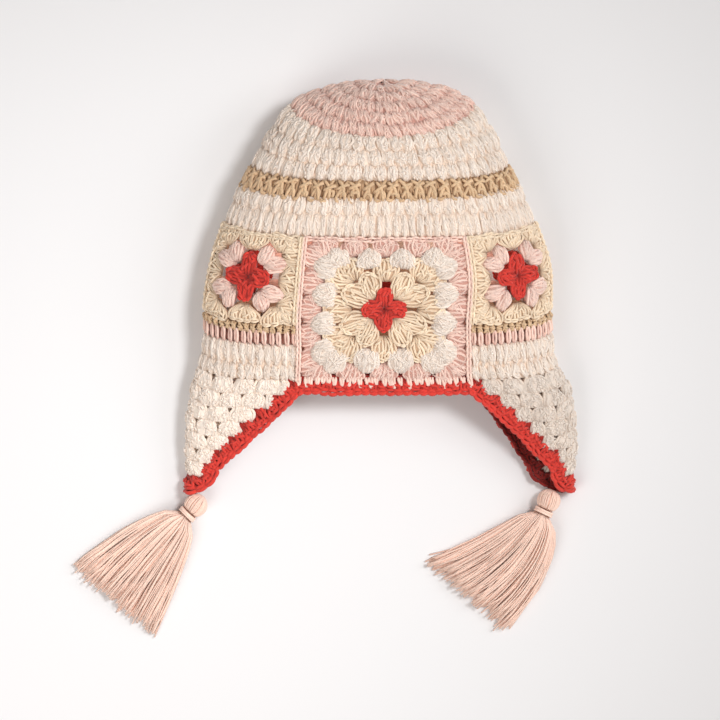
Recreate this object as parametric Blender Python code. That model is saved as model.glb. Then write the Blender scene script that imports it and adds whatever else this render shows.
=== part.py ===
"""Crocheted hat with granny squares, ear flaps and two tassels, lying on its back.

Metres, +Z up. +Y points to the crown and +X to the right of someone who looks down on the hat's front.
The origin is on the surface it lies on, under the middle of the white band at the back.

All fabric lies on one curved sheet. A place on it has two coordinates. The first, around, runs from the
left fold (0) over the front to the right fold (1) and back under the hat to the left fold (2). The second,
along, is the length of fabric from the middle of the crown. Each piece is a patch of that sheet, one wall
thick, and its neighbours are a small gap away.
"""

import math
from collections import namedtuple

import bmesh
import bpy
import numpy as np

# Sizes of the hat as it lies
CROWN_TO_BRIM = 0.213
HALF_WIDTH = 0.1215
HEIGHT = 0.064
ORIGIN_TO_CROWN = 0.0851

# Sizes of the fabric
FABRIC_TO_BRIM = 0.248
FLAP_LENGTH = 0.080
RIGHT_FLAP_LENGTH = 0.079
WALL = 0.004
GAP = 0.0006
EDGING_WIDTH = 0.0085
EYELET_WIDTH = 0.0046
EYELET_DEPTH = 0.0042
CLUSTER_PITCH = 0.0155
FLAP_ROW_PITCH = 0.0106
FLAP_FIRST_HOLES = 0.0125
FLAP_HOLE = 0.0034
FLAP_HOLE_MARGIN = 0.008
TIP_RUN = 0.015

# Sizes of a tassel
HEAD_RADIUS = 0.0083
NECK_RADIUS = 0.0052
NECK_LENGTH = 0.0052
BINDING_RADIUS = 0.0012
TASSEL_LENGTH = 0.087
SKIRT_HALF_WIDTH = 0.038
SKIRT_HEIGHT = 0.0155
SKIRT_END_HEIGHT = 0.0085
LOCK_GROOVE = 0.0022
LOCK_ENDS = [0.0, -0.05, 0.02, -0.03, 0.03, -0.04, 0.01, -0.06, 0.02]
LOCKS = len(LOCK_ENDS)

# The form of a tassel. The head starts at an angle from its axis, the binding sits a share of its own
# radius below the ball, and the skirt swells, lands and is grooved at shares of the way to its ends.
HEAD_START = 170.0
BINDING_SEAT = 1.3
SKIRT_ROOT = 0.9
SKIRT_SPREAD = 0.55
SKIRT_FULL_AT = 0.3125
SKIRT_LANDS_AT = 1 / 3
SKIRT_ROUNDING = 0.45
SKIRT_UNDERSIDE = 0.25
GROOVE_FULL_AT = 0.5
GROOVE_SHARE = 0.16

# The loops of the sheet, from the crown's middle to past the flaps' tips. body and flap give the place
# along the fabric, as shares of FABRIC_TO_BRIM and FLAP_LENGTH. side_y, front_drop and back_drop are
# shares of CROWN_TO_BRIM, and left, right and run of HALF_WIDTH. The heights are shares of HEIGHT.
Level = namedtuple("Level", "body flap side_y left right front_drop back_drop side_z front_z back_z run")
LEVELS = [
    Level(0.000, 0.000, 0.000, -0.036, 0.036, 0.000, 0.000, 0.469, 0.469, 0.469, 0.50),
    Level(0.089, 0.000, 0.005, 0.146, 0.218, 0.041, 0.027, 0.469, 0.781, 0.172, 0.50),
    Level(0.181, 0.000, 0.026, 0.329, 0.400, 0.091, 0.069, 0.453, 0.922, 0.039, 0.50),
    Level(0.270, 0.000, 0.077, 0.505, 0.549, 0.117, 0.089, 0.438, 0.969, 0.000, 0.50),
    Level(0.351, 0.000, 0.178, 0.631, 0.657, 0.087, 0.048, 0.422, 1.000, 0.000, 0.50),
    Level(0.431, 0.000, 0.275, 0.722, 0.737, 0.061, 0.020, 0.406, 1.000, 0.000, 0.50),
    Level(0.484, 0.000, 0.332, 0.779, 0.789, 0.061, 0.022, 0.406, 0.984, 0.000, 0.50),
    Level(0.593, 0.000, 0.458, 0.871, 0.881, 0.057, 0.021, 0.375, 0.938, 0.000, 0.50),
    Level(0.718, 0.000, 0.601, 0.949, 0.964, 0.054, 0.022, 0.344, 0.875, 0.000, 0.50),
    Level(0.843, 0.000, 0.746, 0.987, 0.974, 0.054, 0.025, 0.312, 0.781, 0.000, 0.50),
    Level(0.903, 0.000, 0.815, 0.993, 0.986, 0.052, 0.025, 0.289, 0.719, 0.000, 0.45),
    Level(1.000, 0.000, 0.925, 1.028, 1.021, 0.052, 0.027, 0.250, 0.594, 0.000, 0.32),
    Level(1.000, 0.175, 0.925, 1.060, 1.085, 0.048, 0.027, 0.219, 0.516, 0.000, 0.23),
    Level(1.000, 0.400, 0.925, 1.087, 1.115, 0.041, 0.020, 0.188, 0.406, 0.000, 0.15),
    Level(1.000, 0.750, 0.925, 1.100, 1.127, 0.028, 0.018, 0.148, 0.281, 0.000, 0.085),
    Level(1.000, 1.000, 0.925, 1.100, 1.111, 0.015, 0.008, 0.125, 0.234, 0.000, 0.070),
    Level(1.000, 1.300, 0.925, 1.100, 1.094, 0.012, 0.008, 0.120, 0.225, 0.000, 0.070),
]
DOME_SHARE = 0.2
BACK_RUN = 1.2
LOOP_SAMPLES = 96

# Where one row of the fabric ends and the next begins, as shares of FABRIC_TO_BRIM
DISC_END = 0.270
STRIPE_TOP = 0.431
STRIPE_END = 0.484
SQUARES_TOP = 0.593
BEIGE_ROW_TOP = 0.843
PINK_ROW_TOP = 0.863
WHITE_ROWS_TOP = 0.903

# Where the big square begins and ends around the front, as shares of the front from fold to fold
BIG_FROM = 0.288
BIG_TO = 0.742

# The rounds of a square: colour, outer edge as a share of the half square, clusters on a side, and
# whether the front and the back squares are cut through between the clusters
Round = namedtuple("Round", "colour reach clusters front_eyelets back_eyelets")
BIG_ROUNDS = [
    Round("red", 0.28, 1, False, False),
    Round("beige", 0.46, 2, True, True),
    Round("beige", 0.66, 3, True, True),
    Round("white", 0.85, 4, True, False),
    Round("pink", 1.00, 5, False, False),
]
SMALL_ROUNDS = [
    Round("red", 0.50, 1, False, False),
    Round("pink", 0.74, 2, True, True),
    Round("beige", 1.00, 3, True, False),
]
STAR_VALLEY = 0.4

# How far the flap's rounded tip reaches to each side of its fold, and how its sides taper
Flap = namedtuple("Flap", "name fold length front_width back_width front_tip back_tip")
FLAPS = [
    Flap("left_ear_flap", 0.0, FLAP_LENGTH, BIG_FROM, BIG_FROM, 0.017, 0.013),
    Flap("right_ear_flap", 1.0, RIGHT_FLAP_LENGTH, 1 - BIG_TO, 1 - BIG_TO, 0.012, 0.028),
]
FLAP_TAPER = 0.95

# How far from the fold the first space of each row lies, in clusters, in every other row
EVEN_ROW_START = 0.7
ODD_ROW_START = 1.2

# How far inward of its flap's fold a tassel's head lies, and in degrees the way its skirt points and
# how much it bends
Tassel = namedtuple("Tassel", "name fold inward aim bend")
TASSELS = [
    Tassel("left_tassel", 0.0, 0.0062, 229.0, -3.0),
    Tassel("right_tassel", 1.0, 0.0155, 229.0, 16.0),
]

# How finely the pieces are faceted
CROWN_COLUMNS = 21
DISC_RINGS = 4
SIDE_COLUMNS = 6
FLAP_ROWS = 5
TIP_ROWS = 3
BRIM_COLUMNS = 10
LONGEST_CHORD = 0.013
SKIRT_ROWS = 5
SKIRT_SPLIT_ROW = 3
HEAD_RINGS = 6
HEAD_SIDES = 12
BINDING_AROUND = 12
BINDING_SIDES = 6
FOLD_CROWDING = 0.5
SIDE_CROWDING = 0.4
NORMAL_REACH = 0.008
NORMAL_TURN = 0.008
PEG_OVERSHOOT = 1 / 3
SEAT_STEPS = 5

# Lengths too small to see, which keep divisions whole and join points that meet
TINY = 1e-9
NEAR_CROWN = 1e-5
MEETING = 1e-6

COLOURS = {
    "white": (0.84, 0.78, 0.70),
    "pink": (0.80, 0.60, 0.54),
    "beige": (0.74, 0.60, 0.42),
    "stripe": (0.62, 0.46, 0.28),
    "red": (0.56, 0.055, 0.04),
    "tassel": (0.83, 0.58, 0.48),
}
ROUGHNESS = 0.9


def clear_scene():
    for thing in list(bpy.data.objects):
        bpy.data.objects.remove(thing, do_unlink=True)


def yarn_material(colour):
    """The plain woollen material of one colour of yarn, made once."""
    name = colour + "_yarn"
    found = bpy.data.materials.get(name)
    if found:
        return found
    material = bpy.data.materials.new(name)
    material.use_nodes = True
    shader = material.node_tree.nodes["Principled BSDF"]
    shader.inputs["Base Color"].default_value = (*COLOURS[colour], 1.0)
    shader.inputs["Roughness"].default_value = ROUGHNESS
    shader.inputs["Metallic"].default_value = 0.0
    return material


def smooth(at, knots, values):
    """A curve through the values, without a corner at any of them."""
    slopes = np.gradient(values, knots)
    row = np.clip(np.searchsorted(knots, at) - 1, 0, len(knots) - 2)
    step = knots[row + 1] - knots[row]
    t = (at - knots[row]) / step
    rise = values[row] * (2 * t**3 - 3 * t**2 + 1) + values[row + 1] * (3 * t**2 - 2 * t**3)
    return rise + step * (slopes[row] * (t**3 - 2 * t**2 + t) + slopes[row + 1] * (t**3 - t**2))


LEVEL_KNOTS = np.array([row.body * FABRIC_TO_BRIM + row.flap * FLAP_LENGTH for row in LEVELS])


def level_value(column, along):
    return smooth(along, LEVEL_KNOTS, np.array([getattr(row, column) for row in LEVELS]))


def half_loop(along, is_front):
    """Points of the loops at these places along, from fold to fold over the front or under the back."""
    angle = np.linspace(-math.pi / 2, math.pi / 2, LOOP_SAMPLES)[None, :]
    left = level_value("left", along)[:, None] * HALF_WIDTH
    right = level_value("right", along)[:, None] * HALF_WIDTH
    half = np.maximum((left + right) / 2, TINY)
    side_z = level_value("side_z", along)[:, None] * HEIGHT
    flap_y = np.maximum(along - FABRIC_TO_BRIM, 0.0)[:, None]
    side_y = ORIGIN_TO_CROWN - level_value("side_y", along)[:, None] * CROWN_TO_BRIM - flap_y
    from_fold = half * (1 - np.abs(np.sin(angle)))
    if is_front:
        rise = level_value("front_z", along)[:, None] * HEIGHT - side_z
        run = np.minimum(level_value("run", along)[:, None] * HALF_WIDTH, half)
        drop = level_value("front_drop", along)[:, None] * CROWN_TO_BRIM
        dome = DOME_SHARE * np.cos(angle) ** 2
    else:
        rise = np.maximum(level_value("back_z", along)[:, None] * HEIGHT, 0.0) - side_z
        run = np.minimum(BACK_RUN * side_z, half)
        drop = level_value("back_drop", along)[:, None] * CROWN_TO_BRIM
        dome = 0.0 * angle
    corner = np.sqrt(1 - (1 - np.minimum(from_fold / run, 1.0)) ** 2)
    depth = corner if not is_front else (1 - DOME_SHARE) * corner + dome
    x = (right - left) / 2 + half * np.sin(angle)
    return np.stack([x, side_y - drop * depth, side_z + rise * depth], axis=-1)


def sheet(around, along):
    """The sheet's points at these coordinates."""
    shape = np.broadcast(around, along).shape
    around = np.broadcast_to(around, shape).ravel() % 2.0
    along = np.broadcast_to(along, shape).ravel()
    points = np.empty((around.size, 3))
    for is_front in (True, False):
        chosen = np.flatnonzero((around <= 1.0) == is_front)
        if not chosen.size:
            continue
        share = around[chosen] if is_front else 2.0 - around[chosen]
        loops = half_loop(along[chosen], is_front)
        lengths = np.linalg.norm(np.diff(loops, axis=1), axis=2).cumsum(axis=1)
        lengths = np.concatenate([np.zeros((chosen.size, 1)), lengths], axis=1)
        wanted = share * lengths[:, -1]
        after = np.clip((lengths < wanted[:, None]).sum(axis=1), 1, LOOP_SAMPLES - 1)
        line = np.arange(chosen.size)
        low = lengths[line, after - 1]
        part = ((wanted - low) / np.maximum(lengths[line, after] - low, TINY))[:, None]
        points[chosen] = loops[line, after - 1] * (1 - part) + loops[line, after] * part
    return points.reshape(*shape, 3)


def sheet_normals(around, along):
    """The sheet's unit normals, pointing out of the hat."""
    up = np.maximum(along - NORMAL_REACH, NEAR_CROWN)
    down_fabric = sheet(around, along + NORMAL_REACH) - sheet(around, up)
    round_fabric = sheet(around + NORMAL_TURN, along) - sheet(around - NORMAL_TURN, along)
    normals = np.cross(down_fabric, round_fabric)
    size = np.linalg.norm(normals, axis=-1, keepdims=True)
    at_crown = (np.broadcast_to(along, size.shape[:-1]) < MEETING)[..., None]
    return np.where(at_crown, np.array([0.0, 1.0, 0.0]), normals / np.maximum(size, TINY**2))


def loop_length(along, is_front):
    loop = half_loop(np.array([along]), is_front)[0]
    return float(np.linalg.norm(np.diff(loop, axis=0), axis=1).sum())


BRIM_ARC = (loop_length(FABRIC_TO_BRIM, True) + loop_length(FABRIC_TO_BRIM, False)) / 2


def new_object(name, bm, colour):
    mesh = bpy.data.meshes.new(name)
    bm.to_mesh(mesh)
    bm.free()
    mesh.materials.append(yarn_material(colour))
    thing = bpy.data.objects.new(name, mesh)
    bpy.context.scene.collection.objects.link(thing)
    return thing


def quilt(name, outer, inner, present, closed, colour):
    """A closed solid between two grids of points, with walls around the cells that are present."""
    columns, rows = outer.shape[:2]
    cells = columns if closed else columns - 1
    bm = bmesh.new()
    top = [[bm.verts.new(outer[i, j]) for j in range(rows)] for i in range(columns)]
    bottom = [[bm.verts.new(inner[i, j]) for j in range(rows)] for i in range(columns)]
    for i in range(cells):
        for j in range(rows - 1):
            if not present[i, j]:
                continue
            k = (i + 1) % columns
            ring = [(i, j), (i, j + 1), (k, j + 1), (k, j)]
            sides = [(i - 1, j), (i, j + 1), (i + 1, j), (i, j - 1)]
            bm.faces.new([top[a][b] for a, b in ring])
            bm.faces.new([bottom[a][b] for a, b in reversed(ring)])
            for side, (a, b) in enumerate(sides):
                a = a % cells if closed else a
                if 0 <= a < cells and 0 <= b < rows - 1 and present[a, b]:
                    continue
                start, end = ring[side], ring[(side + 1) % 4]
                wall = (top[end[0]][end[1]], top[start[0]][start[1]])
                bm.faces.new((*wall, bottom[start[0]][start[1]], bottom[end[0]][end[1]]))
    bmesh.ops.remove_doubles(bm, verts=bm.verts, dist=MEETING)
    bmesh.ops.delete(bm, geom=[vert for vert in bm.verts if not vert.link_faces], context="VERTS")
    return new_object(name, bm, colour)


def panel(name, around, along, colour, closed=False):
    """A piece of fabric between the given places: its outer face on the sheet, its inner a wall inside."""
    around, along = np.broadcast_arrays(around, along)
    outer = sheet(around, along)
    inner = outer - WALL * sheet_normals(around, along)
    present = np.ones(outer.shape[:2], bool)
    return quilt(name, outer, inner, present, closed, colour)


def fold_spaced(count):
    """Places from fold to fold, closer together near both folds."""
    even = np.linspace(0, 1, count + 1)
    return (1 - FOLD_CROWDING) * even + FOLD_CROWDING / 2 * (1 - np.cos(math.pi * even))


def side_spaced(count):
    """Places from a fold to the edge of a side piece, closer together near the fold."""
    even = np.linspace(0, 1, count + 1)
    return (1 - SIDE_CROWDING) * even + SIDE_CROWDING * even**2


def whole_loop():
    half = fold_spaced(CROWN_COLUMNS)
    return np.concatenate([half[:-1], 1 + half[:-1]])[:, None]


def crown():
    """The pink disc and the white and beige bands round the head."""
    disc = np.linspace(0, DISC_END * FABRIC_TO_BRIM - GAP / 2, DISC_RINGS + 1)
    panel("crown_disc", whole_loop(), disc[None, :], "pink", closed=True)
    bands = [
        ("upper_white_band", DISC_END, STRIPE_TOP, 3, "white"),
        ("beige_stripe", STRIPE_TOP, STRIPE_END, 1, "stripe"),
        ("lower_white_band", STRIPE_END, SQUARES_TOP, 2, "white"),
    ]
    for name, start, end, rows, colour in bands:
        places = np.linspace(start * FABRIC_TO_BRIM + GAP / 2, end * FABRIC_TO_BRIM - GAP / 2, rows + 1)
        panel(name, whole_loop(), places[None, :], colour, closed=True)


def round_columns(turn, inner_reach, eyelets, gap, eyelet_half, eyelet_depth):
    """The lines across one side of a round, as places along and away from the middle, inner then outer."""
    outer = turn.reach - gap / 2
    inner = inner_reach + gap / 2
    follows_star = turn.clusters == 2
    corner = STAR_VALLEY * inner_reach + gap if follows_star else inner
    lines = [((-corner, corner), (-outer, outer))]
    for k in range(1, turn.clusters):
        middle = 2 * k / turn.clusters - 1
        if not eyelets:
            away = inner + gap if follows_star else inner
            lines.append(((middle * inner, away), (middle * outer, outer)))
            continue
        for side in (-1, 0, 1):
            place = middle * inner + side * eyelet_half
            away = inner + (eyelet_depth if side == 0 else 0.0)
            if follows_star and side:
                away -= (1 - STAR_VALLEY) * eyelet_half / STAR_VALLEY - gap
            lines.append(((place, away), (middle * outer + side * eyelet_half, outer)))
    lines.append(((corner, corner), (outer, outer)))
    return lines


def subdivided(lines, longest):
    """The lines, and as many between them as keep each step along the outer edge below the longest."""
    finer = []
    for first, second in zip(lines, lines[1:]):
        steps = max(1, math.ceil((second[1][0] - first[1][0]) / longest))
        for k in range(steps):
            share = k / steps
            finer.append(tuple(
                tuple((1 - share) * a + share * b for a, b in zip(p, q)) for p, q in zip(first, second)
            ))
    return finer


def turned(place, quarter):
    """A place on the top side of a square, moved on to another side."""
    x, away = place
    return [(x, -away), (away, x), (-x, away), (-away, -x)][quarter]


def square(name, start, end, top, bottom, rounds, eyelets_in):
    """A granny square, round by round, between two places around and two along."""
    middle_around = (start + end) / 2
    half_around = (end - start) / 2
    middle_along = (top + bottom) / 2
    half_along = (bottom - top) / 2
    half_side = (half_around * loop_length(middle_along, end <= 1.0) + half_along) / 2
    gap = GAP / half_side
    eyelet_half = EYELET_WIDTH / 2 / half_side
    eyelet_depth = EYELET_DEPTH / half_side

    def strip(label, colour, lines, closed):
        places = np.array(lines)[::-1]
        around = middle_around + half_around * places[..., 0]
        along = middle_along + half_along * places[..., 1]
        panel(label, around, along, colour, closed=closed)

    inner_reach = 0.0
    for number, turn in enumerate(rounds, 1):
        label = f"{name}_round_{number}_{turn.colour}"
        if number == 1:
            tip, valley = turn.reach - gap / 2, STAR_VALLEY * turn.reach - gap / 2
            rim = [place for q in range(4) for place in (turned((-valley, valley), q), turned((0.0, tip), q))]
            strip(label, turn.colour, [((0.0, 0.0), place) for place in rim], True)
        else:
            eyelets = getattr(turn, eyelets_in)
            side = round_columns(turn, inner_reach, eyelets, gap, eyelet_half, eyelet_depth)
            side = subdivided(side, LONGEST_CHORD / half_side)
            lines = [(turned(a, q), turned(b, q)) for q in range(4) for a, b in side]
            strip(label, turn.colour, lines, True)
        inner_reach = turn.reach


def squares():
    """A big square with a small one on each side of it, at the front and again at the back."""
    top = SQUARES_TOP * FABRIC_TO_BRIM
    small_end = BEIGE_ROW_TOP * FABRIC_TO_BRIM
    half = GAP / 2 / BRIM_ARC
    spans = [
        ("front_square", BIG_FROM, BIG_TO, FABRIC_TO_BRIM, BIG_ROUNDS, "front_eyelets"),
        ("front_left_square", 0.0, BIG_FROM, small_end, SMALL_ROUNDS, "front_eyelets"),
        ("front_right_square", BIG_TO, 1.0, small_end, SMALL_ROUNDS, "front_eyelets"),
        ("back_square", 2 - BIG_TO, 2 - BIG_FROM, FABRIC_TO_BRIM, BIG_ROUNDS, "back_eyelets"),
        ("back_left_square", 2 - BIG_FROM, 2.0, small_end, SMALL_ROUNDS, "back_eyelets"),
        ("back_right_square", 1.0, 2 - BIG_TO, small_end, SMALL_ROUNDS, "back_eyelets"),
    ]
    for name, start, end, bottom, rounds, eyelets_in in spans:
        square(name, start + half, end - half, top + GAP / 2, bottom - GAP / 2, rounds, eyelets_in)


def side_places(flap, columns):
    """Places around the fold of one side, from its back edge to its front edge."""
    towards_front = 1 if flap.fold == 0.0 else -1
    shares = side_spaced(columns)
    half = GAP / 2 / BRIM_ARC
    back = -(flap.back_width - half) * shares[:0:-1]
    front = (flap.front_width - half) * shares
    places = flap.fold + towards_front * np.concatenate([back, front])
    return places if towards_front > 0 else places[::-1]


def side_rows():
    """The beige, pink and white rows between the small squares and each flap."""
    rows = [
        ("beige_row", BEIGE_ROW_TOP, PINK_ROW_TOP, 1, "stripe"),
        ("pink_row", PINK_ROW_TOP, WHITE_ROWS_TOP, 1, "pink"),
        ("white_rows", WHITE_ROWS_TOP, 1.0, 2, "white"),
    ]
    for flap in FLAPS:
        side = flap.name.split("_")[0]
        around = side_places(flap, SIDE_COLUMNS)[:, None]
        for name, start, end, count, colour in rows:
            places = np.linspace(start * FABRIC_TO_BRIM + GAP / 2, end * FABRIC_TO_BRIM - GAP / 2, count + 1)
            panel(f"{side}_{name}", around, places[None, :], colour)


def flap_places(flap):
    """Lengths below the brim of the flap's rows, the last ones round its tip."""
    straight = np.linspace(GAP / 2, flap.length - TIP_RUN, FLAP_ROWS + 1)
    angles = np.linspace(0, math.pi / 2, TIP_ROWS + 1)[1:]
    return np.concatenate([straight, flap.length - TIP_RUN + TIP_RUN * np.sin(angles)])


def flap_reach(flap, below, towards_front):
    """How far the flap reaches from its fold, towards its front or its back edge."""
    width = (flap.front_width if towards_front else flap.back_width) * BRIM_ARC
    tip = flap.front_tip if towards_front else flap.back_tip
    straight = flap.length - TIP_RUN
    taper = np.clip(1 - below / straight, 0.0, 1.0) ** FLAP_TAPER
    rounding = np.sqrt(np.clip(1 - (np.maximum(below - straight, 0.0) / TIP_RUN) ** 2, 0.0, 1.0))
    return (tip + (width - tip) * taper) * rounding


def flap_hole(flap, across, below):
    """A square peg through the flap, where a space between its clusters is."""
    direction = 1 if flap.fold == 0.0 else -1
    around = np.array(flap.fold + direction * across / BRIM_ARC)
    along = np.array(FABRIC_TO_BRIM + below)
    middle = sheet(around, along)
    out = sheet_normals(around, along)
    down = sheet(around, along + WALL) - middle
    down /= np.linalg.norm(down)
    side = np.cross(out, down)
    bm = bmesh.new()
    ends = []
    for depth in (PEG_OVERSHOOT * WALL, -(1 + PEG_OVERSHOOT) * WALL):
        corners = [(-1, 0), (0, -1), (1, 0), (0, 1)]
        reach = FLAP_HOLE / math.sqrt(2)
        ends.append([bm.verts.new(middle + depth * out + reach * (a * side + b * down)) for a, b in corners])
    bm.faces.new(ends[0])
    bm.faces.new(ends[1][::-1])
    for k in range(4):
        bm.faces.new((ends[0][k], ends[1][k], ends[1][(k + 1) % 4], ends[0][(k + 1) % 4]))
    bmesh.ops.recalc_face_normals(bm, faces=bm.faces)
    return bm


def ear_flap(flap):
    """A flap folded along its middle, with rows of spaces between its clusters."""
    below = flap_places(flap)
    direction = 1 if flap.fold == 0.0 else -1
    shares = side_spaced(SIDE_COLUMNS)
    half = GAP / 2
    front = np.maximum(flap_reach(flap, below, True) - half, 0.0)
    back = np.maximum(flap_reach(flap, below, False) - half, 0.0)
    across = np.concatenate([-shares[:0:-1, None] * back[None, :], shares[:, None] * front[None, :]])
    if direction < 0:
        across = across[::-1]
    around = flap.fold + direction * across / BRIM_ARC
    thing = panel(flap.name, around, (FABRIC_TO_BRIM + below)[None, :], "white")

    pegs = bmesh.new()
    row = 0
    while FLAP_FIRST_HOLES + row * FLAP_ROW_PITCH < flap.length - TIP_RUN:
        depth = FLAP_FIRST_HOLES + row * FLAP_ROW_PITCH
        first = CLUSTER_PITCH * (EVEN_ROW_START if row % 2 == 0 else ODD_ROW_START)
        for side in (1, -1):
            place = first
            while place < flap_reach(flap, np.array(depth), side > 0) - FLAP_HOLE_MARGIN:
                peg = flap_hole(flap, side * place, depth)
                spare = bpy.data.meshes.new("peg")
                peg.to_mesh(spare)
                peg.free()
                pegs.from_mesh(spare)
                bpy.data.meshes.remove(spare)
                place += CLUSTER_PITCH
        row += 1
    cutter = new_object(flap.name + "_spaces", pegs, "white")
    cutter.hide_render = True
    cutter.display_type = "WIRE"
    cut = thing.modifiers.new("spaces", "BOOLEAN")
    cut.operation = "DIFFERENCE"
    cut.solver = "EXACT"
    cut.object = cutter
    return thing


def flap_edge(flap):
    """The flap's free edge as fabric places, from its front end round the tip to its back end."""
    below = flap_places(flap)[1:]
    direction = 1 if flap.fold == 0.0 else -1
    front = [(flap.fold + direction * flap_reach(flap, b, True) / BRIM_ARC, b) for b in below]
    back = [(flap.fold - direction * flap_reach(flap, b, False) / BRIM_ARC, b) for b in below[:-1]]
    return [(around, FABRIC_TO_BRIM + b) for around, b in front + back[::-1]]


def red_edging():
    """The red rows along the whole opening: front brim, right flap, back brim and left flap."""
    left, right = FLAPS
    front_brim = [(a, FABRIC_TO_BRIM) for a in np.linspace(BIG_FROM, BIG_TO, BRIM_COLUMNS + 1)]
    back_brim = [(a, FABRIC_TO_BRIM) for a in np.linspace(2 - BIG_TO, 2 - BIG_FROM, BRIM_COLUMNS + 1)]
    left_edge = [(a + 2.0, b) for a, b in flap_edge(left)][::-1]
    edge = np.array(front_brim + flap_edge(right) + back_brim + left_edge)
    flat = edge * np.array([BRIM_ARC, 1.0])
    whole_turn = np.array([2 * BRIM_ARC, 0.0])
    before = np.vstack([flat[-1] - whole_turn, flat[:-1]])
    after = np.vstack([flat[1:], flat[0] + whole_turn])
    ahead = (after - flat) / np.linalg.norm(after - flat, axis=1)[:, None]
    behind = (flat - before) / np.linalg.norm(flat - before, axis=1)[:, None]
    way = ahead + behind
    way /= np.linalg.norm(way, axis=1)[:, None]
    outwards = np.stack([-way[:, 1], way[:, 0]], axis=1)
    lines = np.stack([flat + GAP * outwards, flat + (GAP + EDGING_WIDTH) * outwards], axis=1)
    return panel("red_edging", lines[..., 0] / BRIM_ARC, lines[..., 1], "red", closed=True)


def face_samples(thing):
    """Points spread over the faces of a piece, close enough together to seat another piece on it."""
    steps = SEAT_STEPS
    points = []
    for face in thing.data.polygons:
        corners = [np.array(thing.data.vertices[v].co) for v in face.vertices]
        for k in range(1, len(corners) - 1):
            for i in range(steps + 1):
                for j in range(steps + 1 - i):
                    a, b = i / steps, j / steps
                    points.append((1 - a - b) * corners[0] + a * corners[k] + b * corners[k + 1])
    return np.array(points)


def head_centre(tassel, edging_points):
    """The middle of the tassel's head, seated a gap below the flap's tip and on the surface."""
    flap = FLAPS[0] if tassel.fold == 0.0 else FLAPS[1]
    end = sheet(np.array(tassel.fold), np.array(FABRIC_TO_BRIM + flap.length + EDGING_WIDTH))
    inward = tassel.inward if tassel.fold == 0.0 else -tassel.inward
    x, z = end[0] + inward, HEAD_RADIUS
    aside = (edging_points[:, 0] - x) ** 2 + (edging_points[:, 2] - z) ** 2
    reach = (HEAD_RADIUS + GAP) ** 2 - aside
    near = (reach > 0) & (edging_points[:, 1] < end[1] + EDGING_WIDTH * 2)
    y = (edging_points[near, 1] - np.sqrt(reach[near])).min()
    return np.array([x, y, z])


def tassel_place(tassel, centre, share, across):
    """A place in the skirt: a share of the way from neck to ends, and across from -1 to 1."""
    start = HEAD_RADIUS + NECK_LENGTH / 2
    reach = start + share * (TASSEL_LENGTH - start)
    aim = math.radians(tassel.aim + tassel.bend * (1 - share))
    root = SKIRT_ROOT * NECK_RADIUS
    half = root + (SKIRT_HALF_WIDTH - root) * share**SKIRT_SPREAD
    x = centre[0] + reach * math.cos(aim) - across * half * math.sin(aim)
    y = centre[1] + reach * math.sin(aim) + across * half * math.cos(aim)
    return x, y


def lock_line(tassel, centre, across, ridge, stretch):
    """One line down a lock, as points on its top and its underside. ridge is 0 in a groove and 1 on top."""
    top, bottom = [], []
    for row in range(SKIRT_ROWS + 1):
        share = row / SKIRT_ROWS
        x, y = tassel_place(tassel, centre, share * (1 + stretch * share), across)
        swell = math.sin(math.pi / 2 * min(share / SKIRT_FULL_AT, 1.0))
        full = 2 * NECK_RADIUS + (SKIRT_HEIGHT - 2 * NECK_RADIUS) * swell
        height = full + (SKIRT_END_HEIGHT - full) * share**2
        base = (HEAD_RADIUS - NECK_RADIUS) * max(0.0, 1 - share / SKIRT_LANDS_AT)
        crowned = height * (1 - SKIRT_ROUNDING * across**2)
        groove = LOCK_GROOVE * (1 - ridge) * min(1.0, share / GROOVE_FULL_AT)
        top.append((x, y, base + crowned - groove))
        bottom.append((x, y, base + height * SKIRT_UNDERSIDE * across**2))
    return top, bottom


def skirt(tassel, centre):
    """The hanging locks: grooves part them, and near their ends they come apart."""
    outer, inner, present = [], [], []
    groove = GROOVE_SHARE / LOCKS
    for lock, stretch in enumerate(LOCK_ENDS):
        low = -1 + 2 * lock / LOCKS
        high = -1 + 2 * (lock + 1) / LOCKS
        lines = [(low + groove, 0.0), ((low + high) / 2, 1.0), (high - groove, 0.0)]
        for across, ridge in lines:
            top, bottom = lock_line(tassel, centre, across, ridge, stretch)
            outer.append(top)
            inner.append(bottom)
            is_last_line = across == lines[-1][0]
            present.append([not is_last_line or row < SKIRT_SPLIT_ROW for row in range(SKIRT_ROWS)])
    outer, inner = np.array(outer)[::-1], np.array(inner)[::-1]
    present = np.array(present[:-1])[::-1]
    return quilt(tassel.name, outer, inner, present, False, "tassel")


def along_aim(tassel):
    """The way from the head's middle into the neck, and two directions across it."""
    aim = math.radians(tassel.aim + tassel.bend)
    ahead = np.array([math.cos(aim), math.sin(aim), 0.0])
    return ahead, np.array([-ahead[1], ahead[0], 0.0]), np.array([0.0, 0.0, 1.0])


def turned_solid(name, profile, tassel, centre, sides, colour):
    """A closed round solid about the tassel's axis, from (distance along, radius) pairs."""
    ahead, side, up = along_aim(tassel)
    bm = bmesh.new()
    rings = []
    for place, radius in profile:
        turn = [2 * math.pi * (k + 0.5) / sides for k in range(sides)]
        points = [centre + place * ahead + radius * (math.cos(a) * side + math.sin(a) * up) for a in turn]
        rings.append([bm.verts.new(p) for p in points])
    for first, second in zip(rings, rings[1:]):
        for k in range(sides):
            bm.faces.new((first[k], first[(k + 1) % sides], second[(k + 1) % sides], second[k]))
    bm.faces.new(rings[0][::-1])
    bm.faces.new(rings[-1])
    bmesh.ops.recalc_face_normals(bm, faces=bm.faces)
    return new_object(name, bm, colour)


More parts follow.
